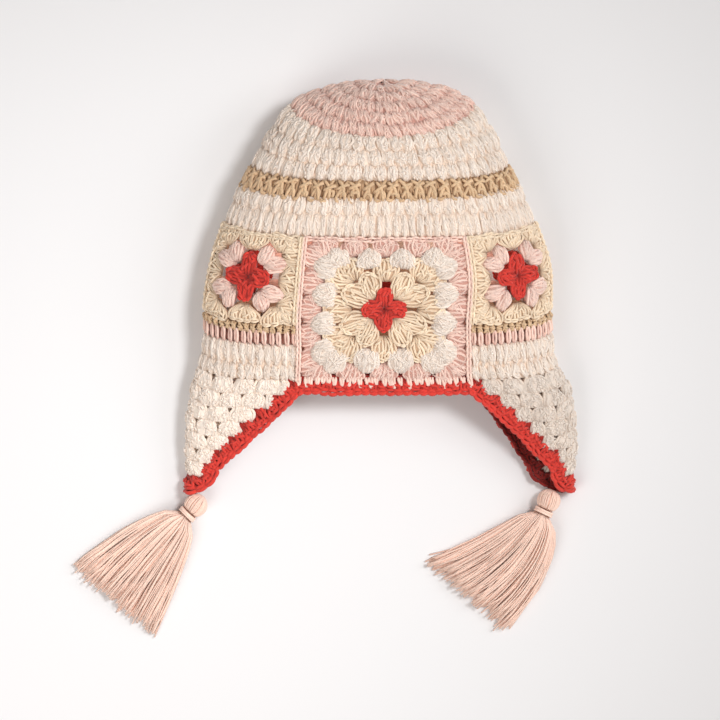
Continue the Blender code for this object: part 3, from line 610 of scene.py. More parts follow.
def block(rng, width, height, strands=5, radius=WOOL, bulge=0.0009, tuck=0.0014, slant=0.0, fan=0.2,
          rounding=0.10, loose=0.25, overlap=0.14, notch=0.0, lumps=0.08, tufts=10, hairs=6, spread=0.5,
          pillow_rise=0.30, fan_power=2.5, tuft_size=0.5, tuft_length=0.42):
    """A stitch of nearly parallel strands, tucked under the row above and rounded at its lower end.

    Shorter loose strands lie over it, and hairs stand out. Returns groups of strands, and its soft body."""
    count = len(width)
    t = np.linspace(0, 1, STEPS)[None, None, :]
    across = np.linspace(-1, 1, strands)[None, :, None]
    shape = (count, strands, 1)
    width = width[:, None, None]
    height = np.broadcast_to(height, (count,))[:, None, None]
    wave = rng.normal(0, loose * radius, shape) + rng.normal(0, loose * radius, shape) * np.sin(
        2 * math.pi * t + rng.uniform(0, 6.3, shape))
    wave = wave + rng.normal(0, 1.2 * loose * radius, shape) * (t - 0.5)
    lean = slant * (0.6 + 0.8 * rng.uniform(0, 1, (count, 1, 1)))
    swell = 1 + rng.normal(0, 0.10, (count, 1, 1))

    def shaped(t, across, wave, end):
        spread = (1 - fan * (1 - np.clip(t, 0, 1)) ** fan_power) * (1 - 0.12 * np.maximum(t - 0.6, 0) / 0.4)
        u = (width / 2 - radius * 0.55) * across * spread + height * lean * (t - 0.5) + wave
        end = 0.5 + overlap * 0.6 - rounding * across**2 + end - notch * np.exp(-(across / 0.28) ** 2)
        v = height * (-0.5 - overlap + (end + 0.5 + overlap) * t)
        inner = np.clip(t, 0, 1)
        rise = bulge * swell * np.sin(math.pi * inner**0.75) ** 0.6 - tuck * (1 - inner) ** 3
        rise = rise - 0.0007 * inner**6
        return u, v, rise - 0.0006 * across**2 + 0 * u

    u, v, lift = shaped(t, across, wave, rng.normal(0, 0.03, shape))
    lift = lift + rng.normal(0, 0.16 * radius, shape)
    uneven = rng.normal(0, 0.08, shape) + rng.normal(0, lumps, (*shape[:2], STEPS))
    radii = radius * taper(t, 0.5) * (1 + uneven)
    u, v, lift, radii = np.broadcast_arrays(u, v, lift, radii)
    groups = [(np.stack([u, v, lift], axis=-1), radii)]
    s = np.linspace(-1, 1, LOOSE_STEPS)[None, None, :]
    for number, thickness, length, turn, stand in (
        (tufts, radius * tuft_size, tuft_length, spread, 0.55), (hairs, HAIR, 0.55, 0.9, 1.0),
    ):
        if not number:
            continue
        shape = (count, number, 1)
        lean_here = rng.normal(0, turn, shape)
        size = length * height * rng.uniform(0.6, 1.2, shape)
        t_here = rng.uniform(0.08, 0.95, shape) + 0.5 * size / height * np.cos(lean_here) * s
        a_here = rng.uniform(-0.95, 0.95, shape) + size / width * np.sin(lean_here) * s
        a_here = a_here + rng.normal(0, 0.25, shape) * thickness / width * 8 * (1 - s**2)
        u, v, lift = shaped(t_here, a_here, 0.0, 0.0)
        lift, loose_radii = loose_strands(rng, s, lift, radius, pillow_rise, stand, thickness)
        groups.append((np.stack([u, v, lift], axis=-1), loose_radii))
    rows = np.array([0.03, 0.18, 0.45, 0.72, 0.9, 0.985])[None, :, None]
    columns = np.linspace(-1, 1, 5)[None, None, :]
    pillow = np.stack(shaped(rows, columns, 0.0, 0.0), axis=-1) + np.array([0, 0, pillow_rise * radius])
    return groups, pillow


def lifted(flat, lift):
    """Flat places, joined with their lift off the sheet."""
    return np.concatenate([flat, np.broadcast_to(lift, flat.shape[:-1])[..., None]], axis=-1)


def twisted_posts(rng, starts, ends, radius, turns=1.1, lift=0.0003, bulge=0.0006, wraps=True):
    """Posts of two strands wound about each other, each with a strand wrapped across it.

    starts and ends are flat places, shape (posts, 2), across and along."""
    count = len(starts)
    t = np.linspace(0, 1, POST_STEPS)[None, :]
    way = ends - starts
    length = np.linalg.norm(way, axis=1, keepdims=True)
    way = way / length
    side = np.stack([way[:, 1], -way[:, 0]], axis=1)
    phase = rng.uniform(0, 2 * math.pi, (count, 1))
    middle = starts[:, None, :] + way[:, None, :] * (length * t)[..., None]
    rise = lift + bulge * np.sin(math.pi * t) - 0.0012 * (1 - t) ** 4
    made = []
    radii = []
    for strand in range(2):
        turn = phase + 2 * math.pi * turns * t + math.pi * strand
        flat = middle + side[:, None, :] * (radius * 0.95 * np.cos(turn))[..., None]
        made.append(lifted(flat, rise + radius * 0.7 * np.sin(turn)))
        radii.append(np.broadcast_to(radius * taper(t, 0.6), (count, POST_STEPS)))
    if wraps:
        s = np.linspace(-1, 1, POST_STEPS)[None, :]
        at = 0.42 + 0.16 * rng.uniform(-1, 1, (count, 1))
        hand = np.where(rng.uniform(0, 1, (count, 1)) < 0.85, 1.0, -1.0)
        centre = starts[:, None, :] + way[:, None, :] * (length * (at + hand * 0.17 * s))[..., None]
        flat = centre + side[:, None, :] * (radius * 2.1 * s)[..., None]
        over = lift + bulge + radius * (1.35 - 1.7 * s**4)
        made.append(lifted(flat, over))
        radii.append(np.broadcast_to(radius * 0.82 * taper((s + 1) / 2, 0.6), (count, POST_STEPS)))
    return np.stack(made, axis=1), np.stack(radii, axis=1)


def links_along(rng, starts, ways, pitch, width, radius, lift=0.0004):
    """Links of a chain, each a loop of two strands that comes out of the one before it.

    starts and ways are flat, shape (links, 2)."""
    count = len(starts)
    t = np.linspace(0, 1, POST_STEPS)[None, :]
    side = np.stack([ways[:, 1], -ways[:, 0]], axis=1)
    pitch = np.broadcast_to(pitch, (count,))[:, None]
    made = []
    radii = []
    for hand in (-1, 1):
        reach = width * hand * np.sin(math.pi * t**0.8) ** 0.7 * (1 - 0.25 * t)
        run = pitch * (-0.15 + 1.55 * t)
        flat = starts[:, None, :] + ways[:, None, :] * run[..., None] + side[:, None, :] * reach[..., None]
        rise = lift + radius * (1.1 * np.sin(math.pi * np.clip(t * 1.15, 0, 1)) - 0.9 * t**3)
        rise = rise + rng.normal(0, 0.1 * radius, (count, 1))
        made.append(lifted(flat, rise))
        radii.append(np.broadcast_to(radius * taper(t, 0.55), (count, POST_STEPS)))
    return np.stack(made, axis=1), np.stack(radii, axis=1)


def stitch_places(along, pitch, shift=0.0, start=0.0, end=2.0):
    """Places around at even steps of about this pitch, and their width in metres."""
    places = []
    widths = []
    for low, high in ((start, min(end, 1.0)), (max(start, 1.0), end)):
        if high - low < 1e-6:
            continue
        length = float(half_length((low + high) / 2, along)) * (high - low)
        count = max(1, round(length / pitch))
        places.append(low + (np.arange(count) + 0.5 + shift) * (high - low) / count)
        widths.append(np.full(count, length / count))
    return np.concatenate(places), np.concatenate(widths)


def band_ground(fabric, start, end, first=0.0, last=2.0, **options):
    """The ground of a row, the whole way round or between two places around."""
    closed = last - first >= 2.0
    columns = int(round(64 * (last - first)))
    around = np.linspace(first, last, columns + 1)
    around = around[:-1] if closed else around
    along = np.linspace(start, end, max(2, int((end - start) / 0.006) + 1))
    ground(fabric, around[None, None, :], along[None, :, None], closed=closed, **options)


def stitch_row(fabric, rng, middle, height, pitch, wide=1.0, shift=0.0, first=0.0, last=2.0,
               inside=False, depth=0.55, scatter=0.0, **stitch):
    """A row of blocks, the whole way round or between two places around."""
    around, width = stitch_places(middle, pitch, shift, first, last)
    along = np.full(len(around), middle)
    if scatter:
        along = along + rng.normal(0, scatter, len(around))
    stitches = block(rng, width * wide, height, **stitch)
    lay_stitches(fabric, around, along, stitches, rng, inside=inside, depth=depth)


def band_edges(top, bottom):
    """Where a band begins and ends, in metres along the sheet."""
    return top * FABRIC_TO_BRIM, bottom * FABRIC_TO_BRIM


def finish_band(name, fabric, colour, node, start, end, **options):
    band_ground(fabric, start + GAP / 2, end - GAP / 2, **options)
    finish_piece(name, fabric, colour, [node])


def crown_disc(rng):
    fabric = Fabric()
    end = DISC_END * FABRIC_TO_BRIM
    height = end / CROWN_ROWS
    for row in range(CROWN_ROWS):
        # depth 0.5 paints the crown's soft bodies half way to the gap shade colour, as painted shade
        stitch_row(
            fabric, rng, (row + 0.5) * height, height * 1.05, 0.0060, 1.15, shift=0.37 * row, depth=0.5,
            scatter=0.0009, strands=4, radius=FINE, bulge=0.0011, slant=0.35, loose=1.1, fan=0.25,
            rounding=0.16, lumps=0.12, tufts=13, hairs=5, spread=0.95, pillow_rise=0.0, tuft_size=0.85,
            tuft_length=0.40,
        )
    band_ground(fabric, 0.0008, end - GAP / 2)
    finish_piece("crown_pink_rounds", fabric, "pink", ["crown_disc"])


def upper_white(rng):
    fabric = Fabric()
    start, end = band_edges(DISC_END, STRIPE_TOP)
    height = (end - start) / 3
    fluffy = dict(wide=1.02, slant=0.14, loose=0.7, overlap=0.12, tufts=12, spread=0.95, pillow_rise=0.6)
    crisp = dict(wide=0.94, slant=0.05, loose=0.4, overlap=0.08, tufts=10, spread=0.55, pillow_rise=0.45)
    for row, work in enumerate((fluffy, fluffy, crisp)):
        stitch_row(
            fabric, rng, start + (row + 0.5) * height, height, ROUND_PITCH, shift=0.5 * (row % 2), strands=4,
            bulge=0.0011, rounding=0.16, fan=0.35, tuft_length=0.32, tuft_size=0.6, **work,
        )
    finish_band("upper_white_rows", fabric, "white", "upper_white_band", start, end)


def knotted_row(fabric, rng, start, end, pitch, radius, first=0.0, last=2.0, shift=0.0):
    """A row of knotty stitches: fat strands that cross over each other at varied slants, on a soft body."""
    middle, height = (start + end) / 2, end - start
    around, width = stitch_places(middle, pitch, shift=shift, start=first, end=last)
    count = len(around)
    along = np.full(count, middle)
    stitches = block(
        rng, width * 0.90, height * 1.05, strands=3, radius=radius, bulge=0.0007, fan=-0.1, rounding=0.20,
        loose=0.3, overlap=0.08, lumps=0.02, tufts=0, hairs=0, pillow_rise=0.0,
    )
    # depth 0.15 paints the soft bodies mostly in the gap shade colour, as painted shade under the knotted
    # strands
    lay_stitches(fabric, around, along, stitches, rng, depth=0.15)
    t = np.linspace(0, 1, STEPS)
    w, h = width[:, None], height
    paths = []
    for u0, v0, u1, v1, bow, high in (
        (-0.38, -0.44, 0.26, 0.40, 0.16, 1.3), (0.40, -0.44, -0.30, 0.34, -0.16, 0.8),
        (-0.42, -0.05, 0.42, -0.25, 0.20, 1.7), (-0.20, 0.12, 0.34, 0.44, 0.22, 1.0),
        (-0.42, 0.30, -0.05, 0.50, -0.14, 0.6),
    ):
        ends = np.array([u0, v0, u1, v1])[None, :] + rng.normal(0, 0.07, (count, 4))
        u = w * (ends[:, 0:1] * (1 - t) + ends[:, 2:3] * t + bow * np.sin(math.pi * t))
        v = h * (ends[:, 1:2] * (1 - t) + ends[:, 3:4] * t - bow * 0.6 * np.sin(math.pi * t))
        lift = 0.0001 + radius * high * np.sin(math.pi * (0.08 + 0.84 * t)) ** 0.8
        lift = lift + rng.normal(0, 0.00015, (count, 1))
        paths.append(np.stack([u, v, lift], axis=-1))
    wraps = np.stack(paths, axis=1)
    wrap_radii = radius * 1.30 * taper(t, 0.75) * (1 + rng.normal(0, 0.07, (*wraps.shape[:2], 1)))
    lay(fabric, around, along, wraps, wrap_radii, rng)


def beige_stripe(rng):
    fabric = Fabric()
    start, end = band_edges(STRIPE_TOP, STRIPE_END)
    knotted_row(fabric, rng, start - 0.0004, end + 0.0012, 0.0086, COTTON)
    # depth 0.1 paints the stripe's ground almost wholly in the gap shade colour, as painted shade between
    # stitches
    finish_band("beige_stripe_row", fabric, "stripe", "beige_stripe", start, end, depth=0.1)


def lower_white(rng):
    fabric = Fabric()
    start, end = band_edges(STRIPE_END, SQUARES_TOP)
    split = start + 0.44 * (end - start)
    stitch_row(
        fabric, rng, (start + split) / 2, split - start, ROUND_PITCH, 0.97, shift=0.5, strands=4, loose=0.5,
        overlap=0.12, rounding=0.16, spread=0.7, tuft_length=0.34, tuft_size=0.6, pillow_rise=0.45,
    )
    stitch_row(
        fabric, rng, (split + end) / 2, end - split, 0.0056, strands=3, radius=WOOL * 0.95, loose=0.5,
        overlap=0.10, rounding=0.08, fan=0.3, tufts=8, hairs=4, spread=0.55, tuft_length=0.28,
        pillow_rise=0.45,
    )
    finish_band("lower_white_rows", fabric, "white", "lower_white_band", start, end)


# How a cluster is worked: its strands, their radius, how high it rises, how round its top is, where along
# it is widest, how much it narrows after that, how slowly it opens, its strands' weave and lumps, how far
# its soft body is raised as a share of the radius, and its loose tufts and hairs
Work = namedtuple(
    "Work", "strands radius rise rounding widest narrowing slowness weave lumps raised tufts hairs",
)
WORKS = {
    "star": Work(6, THICK_RED * 0.95, 0.0009, 0.16, 0.45, 0.10, 0.8, 0.40, 0.03, 0.10, 0, 0),
    "plied": Work(8, COTTON, 0.0009, 0.22, 0.70, 0.14, 0.8, 0.45, 0.03, -0.45, 0, 0),
    "puffy": Work(6, WOOL * 1.05, 0.0027, 0.17, 0.50, 0.26, 0.8, 0.40, 0.08, 0.55, 28, 26),
    "oval": Work(5, WOOL, 0.0024, 0.14, 0.55, 0.22, 0.8, 0.40, 0.08, 0.30, 16, 16),
    "fine": Work(7, WOOL * 0.78, 0.0010, 0.22, 0.65, 0.08, 1.2, 0.60, 0.08, 0.30, 16, 8),
}
WORKS["filling"] = WORKS["plied"]._replace(strands=11, rounding=0.08, narrowing=0.05, slowness=1.2)

# Where a round's clusters stand: their foot as a share of the last round's reach, the half widths of foot
# and top as shares of the space for each, and the depth value of the soft body, which paints it from the gap
# shade colour (0) to the surface colour (1)
Stand = namedtuple("Stand", "foot base top shade")
STANDS = {
    "star": Stand(0.0, 0.0, 0.0, 0.3),
    "plied": Stand(0.82, 0.18, 0.44, 0.3),
    "puffy": Stand(0.84, 0.42, 0.40, 0.8),
    "oval": Stand(0.88, 0.14, 0.27, 0.4),
    "fine": Stand(0.84, 0.16, 0.41, 0.15),
}


def cluster(rng, look, base, top, base_half, top_half, fills=False):
    """Clusters between flat places in metres, worked as their yarn looks.

    base and top have the shape (clusters, 2). Returns groups of strands, and the soft body under them."""
    count = len(base)
    way = top - base
    length = np.linalg.norm(way, axis=1)[:, None, None]
    way = unit(way)
    side = np.stack([-way[:, 1], way[:, 0]], axis=1)
    work = WORKS["filling" if fills else look]
    radius = work.radius

    def shell(t, s):
        t = np.clip(t, 0, 1)
        opening = np.sin(math.pi / 2 * np.minimum(1.0, t / work.widest)) ** work.slowness
        half = base_half + (top_half - base_half) * opening
        half = half * (1 - work.narrowing * (np.maximum(t - work.widest, 0) / (1 - work.widest)) ** 2)
        v = length * t * (1 - work.rounding * s**2)
        dome = np.sin(math.pi * np.clip(t, 0, 1) ** 0.8) ** 0.7
        side_drop = 0.0012 * s**2 if look in ("puffy", "oval") else 0.0005 * s**2
        lift = work.rise * dome + 0.0002 - 0.0014 * (1 - t) ** 3 - side_drop * np.minimum(1, 3 * t)
        return s * half + 0 * v, v, lift + 0 * v

    def flat(u, v):
        extra = (None,) * (u.ndim - 1)
        return (base[(slice(None), *extra)] + way[(slice(None), *extra)] * v[..., None]
                + side[(slice(None), *extra)] * u[..., None])

    t = np.linspace(0, 1, STEPS)[None, None, :]
    s = np.linspace(-1, 1, work.strands)[None, :, None]
    shape = (count, work.strands, 1)
    u, v, lift = shell(t * (1 + rng.normal(0, 0.02, shape)), s)
    u = u + work.weave * radius * np.sin(2 * math.pi * t * 1.1 + rng.uniform(0, 6.3, shape))
    u = u + rng.normal(0, 0.25 * radius, shape)
    lift = lift + rng.normal(0, 0.18 * radius, shape)
    uneven = rng.normal(0, work.lumps, (*shape[:2], STEPS))
    radii = radius * taper(t, 0.55) * (0.85 + 0.2 * t) * (1 + uneven)
    groups = [(lifted(flat(u, v), lift), radii)]

    rows = np.linspace(0.0, 0.97, 6)[None, :, None]
    u, v, lift = shell(rows, np.linspace(-1, 1, 6)[None, None, :])
    pillow = lifted(flat(u, v), lift + work.raised * radius)
    s = np.linspace(-1, 1, LOOSE_STEPS)[None, None, :]
    for number, thickness, turn, stand in (
        (work.tufts, radius * 0.5, 0.35, 0.6), (work.hairs, HAIR, 0.45, 1.0),
    ):
        if not number:
            continue
        shape = (count, number, 1)
        size = rng.uniform(0.15, 0.3, shape)
        start = rng.uniform(0.10, 0.92, shape)
        u, v, lift = shell(start + size * s, rng.uniform(-0.9, 0.9, shape) + rng.normal(0, turn, shape) * s)
        lift, loose_radii = loose_strands(rng, s, lift, radius, work.raised, stand, thickness)
        groups.append((lifted(flat(u, v), lift), loose_radii))
    if work.tufts:
        return groups, pillow

    loops = STAR_LOOPS if look == "star" else TOP_LOOPS
    spots = ((np.arange(loops) + 0.5) / loops * 2 - 1)[None, :, None, None]
    hand = np.array([-1.0, 1.0])[None, None, :, None]
    t = t[None]
    s = spots + 1.3 / loops * (2 * t - 1) + 0 * hand
    u = s * (top_half * (1 - work.narrowing) - 0.2 * radius) + np.zeros((count, 1, 1, 1))
    v = length[..., None] * (1 - work.rounding * s**2) + radius * (0.80 * hand * np.sin(math.pi * t) - 0.75)
    lift = 0.0004 + 0.0009 * np.sin(math.pi * t) - 0.0010 * t**3 + 0 * v
    lift = lift + rng.normal(0, 0.25 * radius, (count, loops, 1, 1))
    links = lifted(flat(u, v), lift).reshape(count, loops * 2, STEPS, 3)
    links = links + rng.normal(0, 0.28 * radius, (count, loops * 2, 1, 3))
    link_radii = np.broadcast_to(radius * 0.85 * taper(t, 0.6), v.shape).reshape(count, loops * 2, STEPS)
    groups.append((links, link_radii))

    t = t[0]
    at = rng.uniform(0.25, 0.80, (count, WRAPS, 1))
    spot = (((np.arange(WRAPS) + 0.5) / WRAPS * 2 - 1) * 0.8)[None, :, None]
    hand = np.where(rng.uniform(0, 1, at.shape) < 0.75, 1.0, -1.0)
    u, v, lift = shell(at + hand * 0.12 * (2 * t - 1), spot + 0.24 * (2 * t - 1))
    lift = lift + radius * (1.0 - 1.9 * (2 * t - 1) ** 4)
    wrapped = lifted(flat(u, v), lift)
    groups.append((wrapped, np.broadcast_to(radius * 0.85 * taper(t, 0.5), lift.shape)))
    return groups, pillow


BIG_SIZE = 0.045
STAR_ARM = 0.0062
HANG_PITCH = 0.0041
HANG_REACH = 0.0036
HANG_START = 0.0045
SEAM_PITCH = 0.0040
TOP_SEAM_PITCH = 0.0046


def turned(places, quarter):
    """Places on the top side of a square, moved on to another side."""
    x, away = places[..., 0], places[..., 1]
    return np.stack([(x, -away), (away, x), (-x, away), (-away, -x)][quarter], axis=-1)


def lay_pillow(fabric, spot, pillow, depth):
    """The soft body under each cluster, which leaves the eyelets between clusters open."""
    middle_around, middle_along, across_scale = spot
    around = middle_around + pillow[..., 0] * across_scale
    ground(fabric, around, middle_along + pillow[..., 1], high=pillow[..., 2], depth=depth)


def lay_flat(fabric, spot, strands, radii, rng):
    """Strands given by flat places in metres from a square's middle, laid on the sheet."""
    middle_around, middle_along, across_scale = spot
    lift = strands[..., 2]
    points = place(middle_around + strands[..., 0] * across_scale, middle_along + strands[..., 1], lift)
    sweep(fabric, points, lift, radii, rng, sides_for(radii, strands.shape[2]))


def round_places(turn, last, inner_reach, size):
    """How a round is worked, the feet and tops of its clusters on one side, and their half widths."""
    n = turn.clusters
    outer = turn.reach - 0.004 if last else turn.reach + 0.04
    look = "oval" if n == 2 and turn.look == "puffy" else turn.look
    if n == 1:
        look, base = "star", np.array([[0.0, 0.01]])
        outer = turn.reach - (0.01 if size > BIG_SIZE else 0.02)
        base_half, top_half = 1.30 * STAR_ARM, 0.86 * STAR_ARM
    else:
        stand = STANDS[look]
        outer = outer - 0.04 if look in ("puffy", "oval") else outer
        ring = inner_reach * stand.foot
        if n == 2:
            ring = inner_reach * (0.58 if look == "oval" else 0.45)
        spaces = np.linspace(-1, 1, n)
        base = np.stack([spaces * ring * np.where(np.abs(spaces) == 1, 0.95, 1.0), np.full(n, ring)], axis=1)
        base_half = stand.base * 2 * ring / n * size
        share = 0.50 if last and look == "plied" else stand.top
        top_half = share * 2 * (outer if last else (ring + outer) / 2) / n * size
    across = (2 * np.arange(n) + 1) / n - 1
    return look, base, np.stack([across * outer, np.full(n, outer)], axis=1), base_half, top_half


def seams(fabric, rng, spot, half_across, half_along):
    """The chains along a square's two sides and its top."""
    count = int(2 * half_along / SEAM_PITCH)
    along = -half_along + (np.arange(count) + 0.1) * SEAM_PITCH
    for side in (-1, 1):
        starts = np.stack([np.full(count, side * (half_across - 0.0012)), along], axis=1)
        ways = np.tile([0.0, 1.0], (count, 1))
        chain, radii = links_along(rng, starts, ways, SEAM_PITCH, 0.0012, FINE * 1.2, 0.0012)
        lay_flat(fabric, spot, chain, radii, rng)
    count = int(2 * half_across / TOP_SEAM_PITCH)
    across = -half_across + (np.arange(count) + 0.3) * TOP_SEAM_PITCH
    starts = np.stack([across, np.full(count, -half_along + 0.0014)], axis=1)
    ways = np.tile([1.0, 0.0], (count, 1))
    chain, radii = links_along(rng, starts, ways, TOP_SEAM_PITCH, 0.0012, FINE, 0.0002)
    chain = chain + rng.normal(0, 0.0003, (*chain.shape[:2], 1, 3))
    lay_flat(fabric, spot, chain, radii, rng)


def square(rng, name, start, end, top, bottom, rounds):
    """A granny square, round by round, between two places around and two along."""
    middle_around, middle_along = (start + end) / 2, (top + bottom) / 2
    span = float(half_length(middle_around, middle_along))
    half_across, half_along = (end - start) / 2 * span, (bottom - top) / 2
    sizes = np.array([half_across, half_along])
    size = float(sizes.mean())
    spot = (middle_around, middle_along, 1 / span)
    inner_reach = 0.0
    for number, turn in enumerate(rounds, 1):
        fabric = Fabric()
        last = number == len(rounds)
        look, base, peak, base_half, top_half = round_places(turn, last, inner_reach, size)
        scale = size if turn.clusters == 1 else sizes
        for quarter in range(4):
            groups, pillow = cluster(
                rng, look, turned(base, quarter) * scale, turned(peak, quarter) * scale, base_half, top_half,
                fills=last and look == "plied",
            )
            for strands, radii in groups:
                if middle_around <= 1.0:
                    lay_flat(fabric, spot, strands, radii, rng)
                elif strands.shape[2] == STEPS:
                    lay_flat(fabric, spot, strands[:, :, ::2], radii[:, :, ::2], rng)
            lay_pillow(fabric, spot, pillow, STANDS[look].shade)
        if last:
            seams(fabric, rng, spot, half_across, half_along)
            if turn.colour == "pink":
                hang_over(fabric, rng, spot, half_across, half_along)
        label = f"{name}_round_{number}_{turn.colour}"
        finish_piece(label + "_yarn", fabric, turn.colour, [label])
        inner_reach = turn.reach


def hang_over(fabric, rng, spot, half_across, half_along):
    """The ends of the last round's stitches, which hang over the red rows below."""
    count = int(2 * half_across / HANG_PITCH)
    u = -half_across + (np.arange(count) + 0.5) * HANG_PITCH + rng.normal(0, 0.0007, count)
    reach = rng.uniform(0.25, 1.25, count) * HANG_REACH
    t = np.linspace(0, 1, 7)[None, None, :]
    hand = np.array([-1.0, 1.0])[None, :, None]
    across = u[:, None, None] + hand * HANG_PITCH * 0.24 * np.cos(math.pi / 2 * t) + 0 * t
    along = half_along - HANG_START + (reach + HANG_START)[:, None, None] * np.sin(math.pi / 2 * t) + 0 * hand
    lift = 0.0006 + 0.0014 * np.sin(math.pi / 2 * t) - 0.0004 * t**6 + 0 * across
    radii = WOOL * taper(t, 0.7) * (1 + rng.normal(0, 0.12, lift.shape))
    lay_flat(fabric, spot, np.stack([across, along + 0 * across, lift], axis=-1), radii, rng)


def squares(rng):
    top = SQUARES_TOP * FABRIC_TO_BRIM
    small_end = BEIGE_ROW_TOP * FABRIC_TO_BRIM
    spans = [
        ("front_square", BIG_FROM, BIG_TO, FABRIC_TO_BRIM, BIG_ROUNDS),
        ("front_left_square", 0.0, BIG_FROM, small_end, SMALL_ROUNDS),
        ("front_right_square", BIG_TO, 1.0, small_end, SMALL_ROUNDS),
        ("back_square", 2 - BIG_TO, 2 - BIG_FROM, FABRIC_TO_BRIM, BIG_ROUNDS),
        ("back_left_square", 2 - BIG_FROM, 2.0, small_end, SMALL_ROUNDS),
        ("back_right_square", 1.0, 2 - BIG_TO, small_end, SMALL_ROUNDS),
    ]
    for name, start, end, bottom, rounds in spans:
        square(rng, name, start, end, top + GAP / 2, bottom - GAP / 2, rounds)


def beige_posts(fabric, rng, start, end, first, last):
    """Pairs of posts of two strands."""
    middle = (start + end) / 2
    around, _ = stitch_places(middle, 0.0046, start=first, end=last)
    count = len(around)
    starts = np.stack([np.zeros(count), np.full(count, -0.55 * (end - start))], axis=1)
    ends = np.stack([rng.normal(0, 0.0004, count), np.full(count, 0.75 * (end - start))], axis=1)
    for offset in (-0.0011, 0.0011):
        shift = np.array([offset, 0.0])
        strands, radii = twisted_posts(rng, starts + shift, ends - shift, COTTON * 0.9, turns=0.6)
        for k in range(strands.shape[1]):
            lay(fabric, around, np.full(count, middle), strands[:, k:k + 1], radii[:, k:k + 1], rng)


def pink_loops(fabric, rng, start, end, first, last):
    """Long open loops, one beside the other."""
    around, width = stitch_places((start + end) / 2, 0.0050, start=first, end=last)
    turn = 2 * math.pi * np.linspace(0, 1, 14) - math.pi / 2
    u = np.cos(turn)[None, :] * 0.22 * width[:, None]
    v = (end - start) * (-0.02 - 0.50 * np.sin(turn))[None, :] + 0 * u
    lift = 0.0006 + 0.0004 * np.cos(turn)[None, :] - 0.0010 * (np.sin(turn)[None, :] < -0.8) + 0 * u
    strands = np.stack([u, v, lift], axis=-1)[:, None]
    strands = strands + rng.normal(0, 0.0003, (*strands.shape[:2], 1, 3))
    radii = FINE * 1.15 * (1 + rng.normal(0, 0.14, strands.shape[:3]))
    lay(fabric, around, np.full(len(around), (start + end) / 2), strands, radii, rng)


def white_blocks(fabric, rng, start, end, first, last):
    """Two rows of blocks, worked on the outer and the inner face."""
    height = (end - start) / 2
    for row in range(2):
        for inside in (False, True):
            stitch_row(
                fabric, rng, start + (row + 0.5) * height, height, 0.0058, 1.04, first=first, last=last,
                inside=inside, strands=3, loose=0.6, rounding=0.20, fan=0.50, fan_power=3.0, overlap=0.08,
                tufts=0 if inside else 11, hairs=0 if inside else 5, bulge=0.0011, spread=0.8,
                pillow_rise=0.45, tuft_length=0.34, slant=0.15,
            )


def side_rows(rng):
    """The beige, pink and white rows between the small squares and each flap."""
    # depth 0.0 paints these rows' grounds wholly in the gap shade colour, as painted shade between the posts
    # and loops
    kinds = (
        ("beige_row", "stripe", BEIGE_ROW_TOP, PINK_ROW_TOP, beige_posts, dict(depth=0.0)),
        ("pink_row", "pink", PINK_ROW_TOP, WHITE_ROWS_TOP, pink_loops, dict(high=-0.0018, depth=0.0)),
        ("white_rows", "white", WHITE_ROWS_TOP, 1.0, white_blocks, {}),
    )
    for flap in FLAPS:
        side = flap.name.split("_")[0]
        if flap.fold == 0.0:
            spans = [(0.0, flap.front_width), (2.0 - flap.back_width, 2.0)]
        else:
            spans = [(1.0 - flap.front_width, 1.0), (1.0, 1.0 + flap.back_width)]
        for label, colour, top, bottom, lay_span, options in kinds:
            fabric = Fabric()
            start, end = band_edges(top, bottom)
            for first, last in spans:
                lay_span(fabric, rng, start, end, first, last)
                band_ground(fabric, start + GAP / 2, end - GAP / 2, first, last, **options)
            finish_piece(f"{side}_{label}_yarn", fabric, colour, [f"{side}_{label}"])


def flap_reach(flap, below, towards_front):
    """How far the flap reaches from its fold, towards its front or its back edge."""
    width = (flap.front_width if towards_front else flap.back_width) * BRIM_ARC
    tip = flap.front_tip if towards_front else flap.back_tip
    straight = flap.length - TIP_RUN
    taper_share = np.clip(1 - below / straight, 0.0, 1.0) ** FLAP_TAPER
    rounding = np.sqrt(np.clip(1 - (np.maximum(below - straight, 0.0) / TIP_RUN) ** 2, 0.0, 1.0))
    return (tip + (width - tip) * taper_share) * rounding


def flap_row(flap, row):
    """The clusters of one row of a flap: their places across, their widths and the place below the brim."""
    depth = FLAP_FIRST_HOLES + row * FLAP_ROW_PITCH
    first = CLUSTER_PITCH * (0.7 if row % 2 == 0 else 1.2)
    centres = []
    widths = []
    if row % 2 == 0:
        centres.append(0.0)
        widths.append(2 * first)
    else:
        centres += [-first / 2, first / 2]
        widths += [first, first]
    for side in (1, -1):
        reach = float(flap_reach(flap, np.array(depth + 0.4 * FLAP_ROW_PITCH), side > 0))
        edge = first
        while edge < reach - 0.004:
            width = min(CLUSTER_PITCH, reach - edge)
            centres.append(side * (edge + width / 2))
            widths.append(width)
            edge += CLUSTER_PITCH
    centres, widths = np.array(centres), np.array(widths)
    reach = np.array([
        float(flap_reach(flap, np.array(depth + 0.4 * FLAP_ROW_PITCH), c >= 0)) for c in centres
    ])
    over = np.maximum(np.abs(centres) + widths / 2 - reach, 0)
    widths = widths - over
    centres = centres - np.sign(centres) * over / 2
    keep = widths > 0.003
    return centres[keep], widths[keep], depth


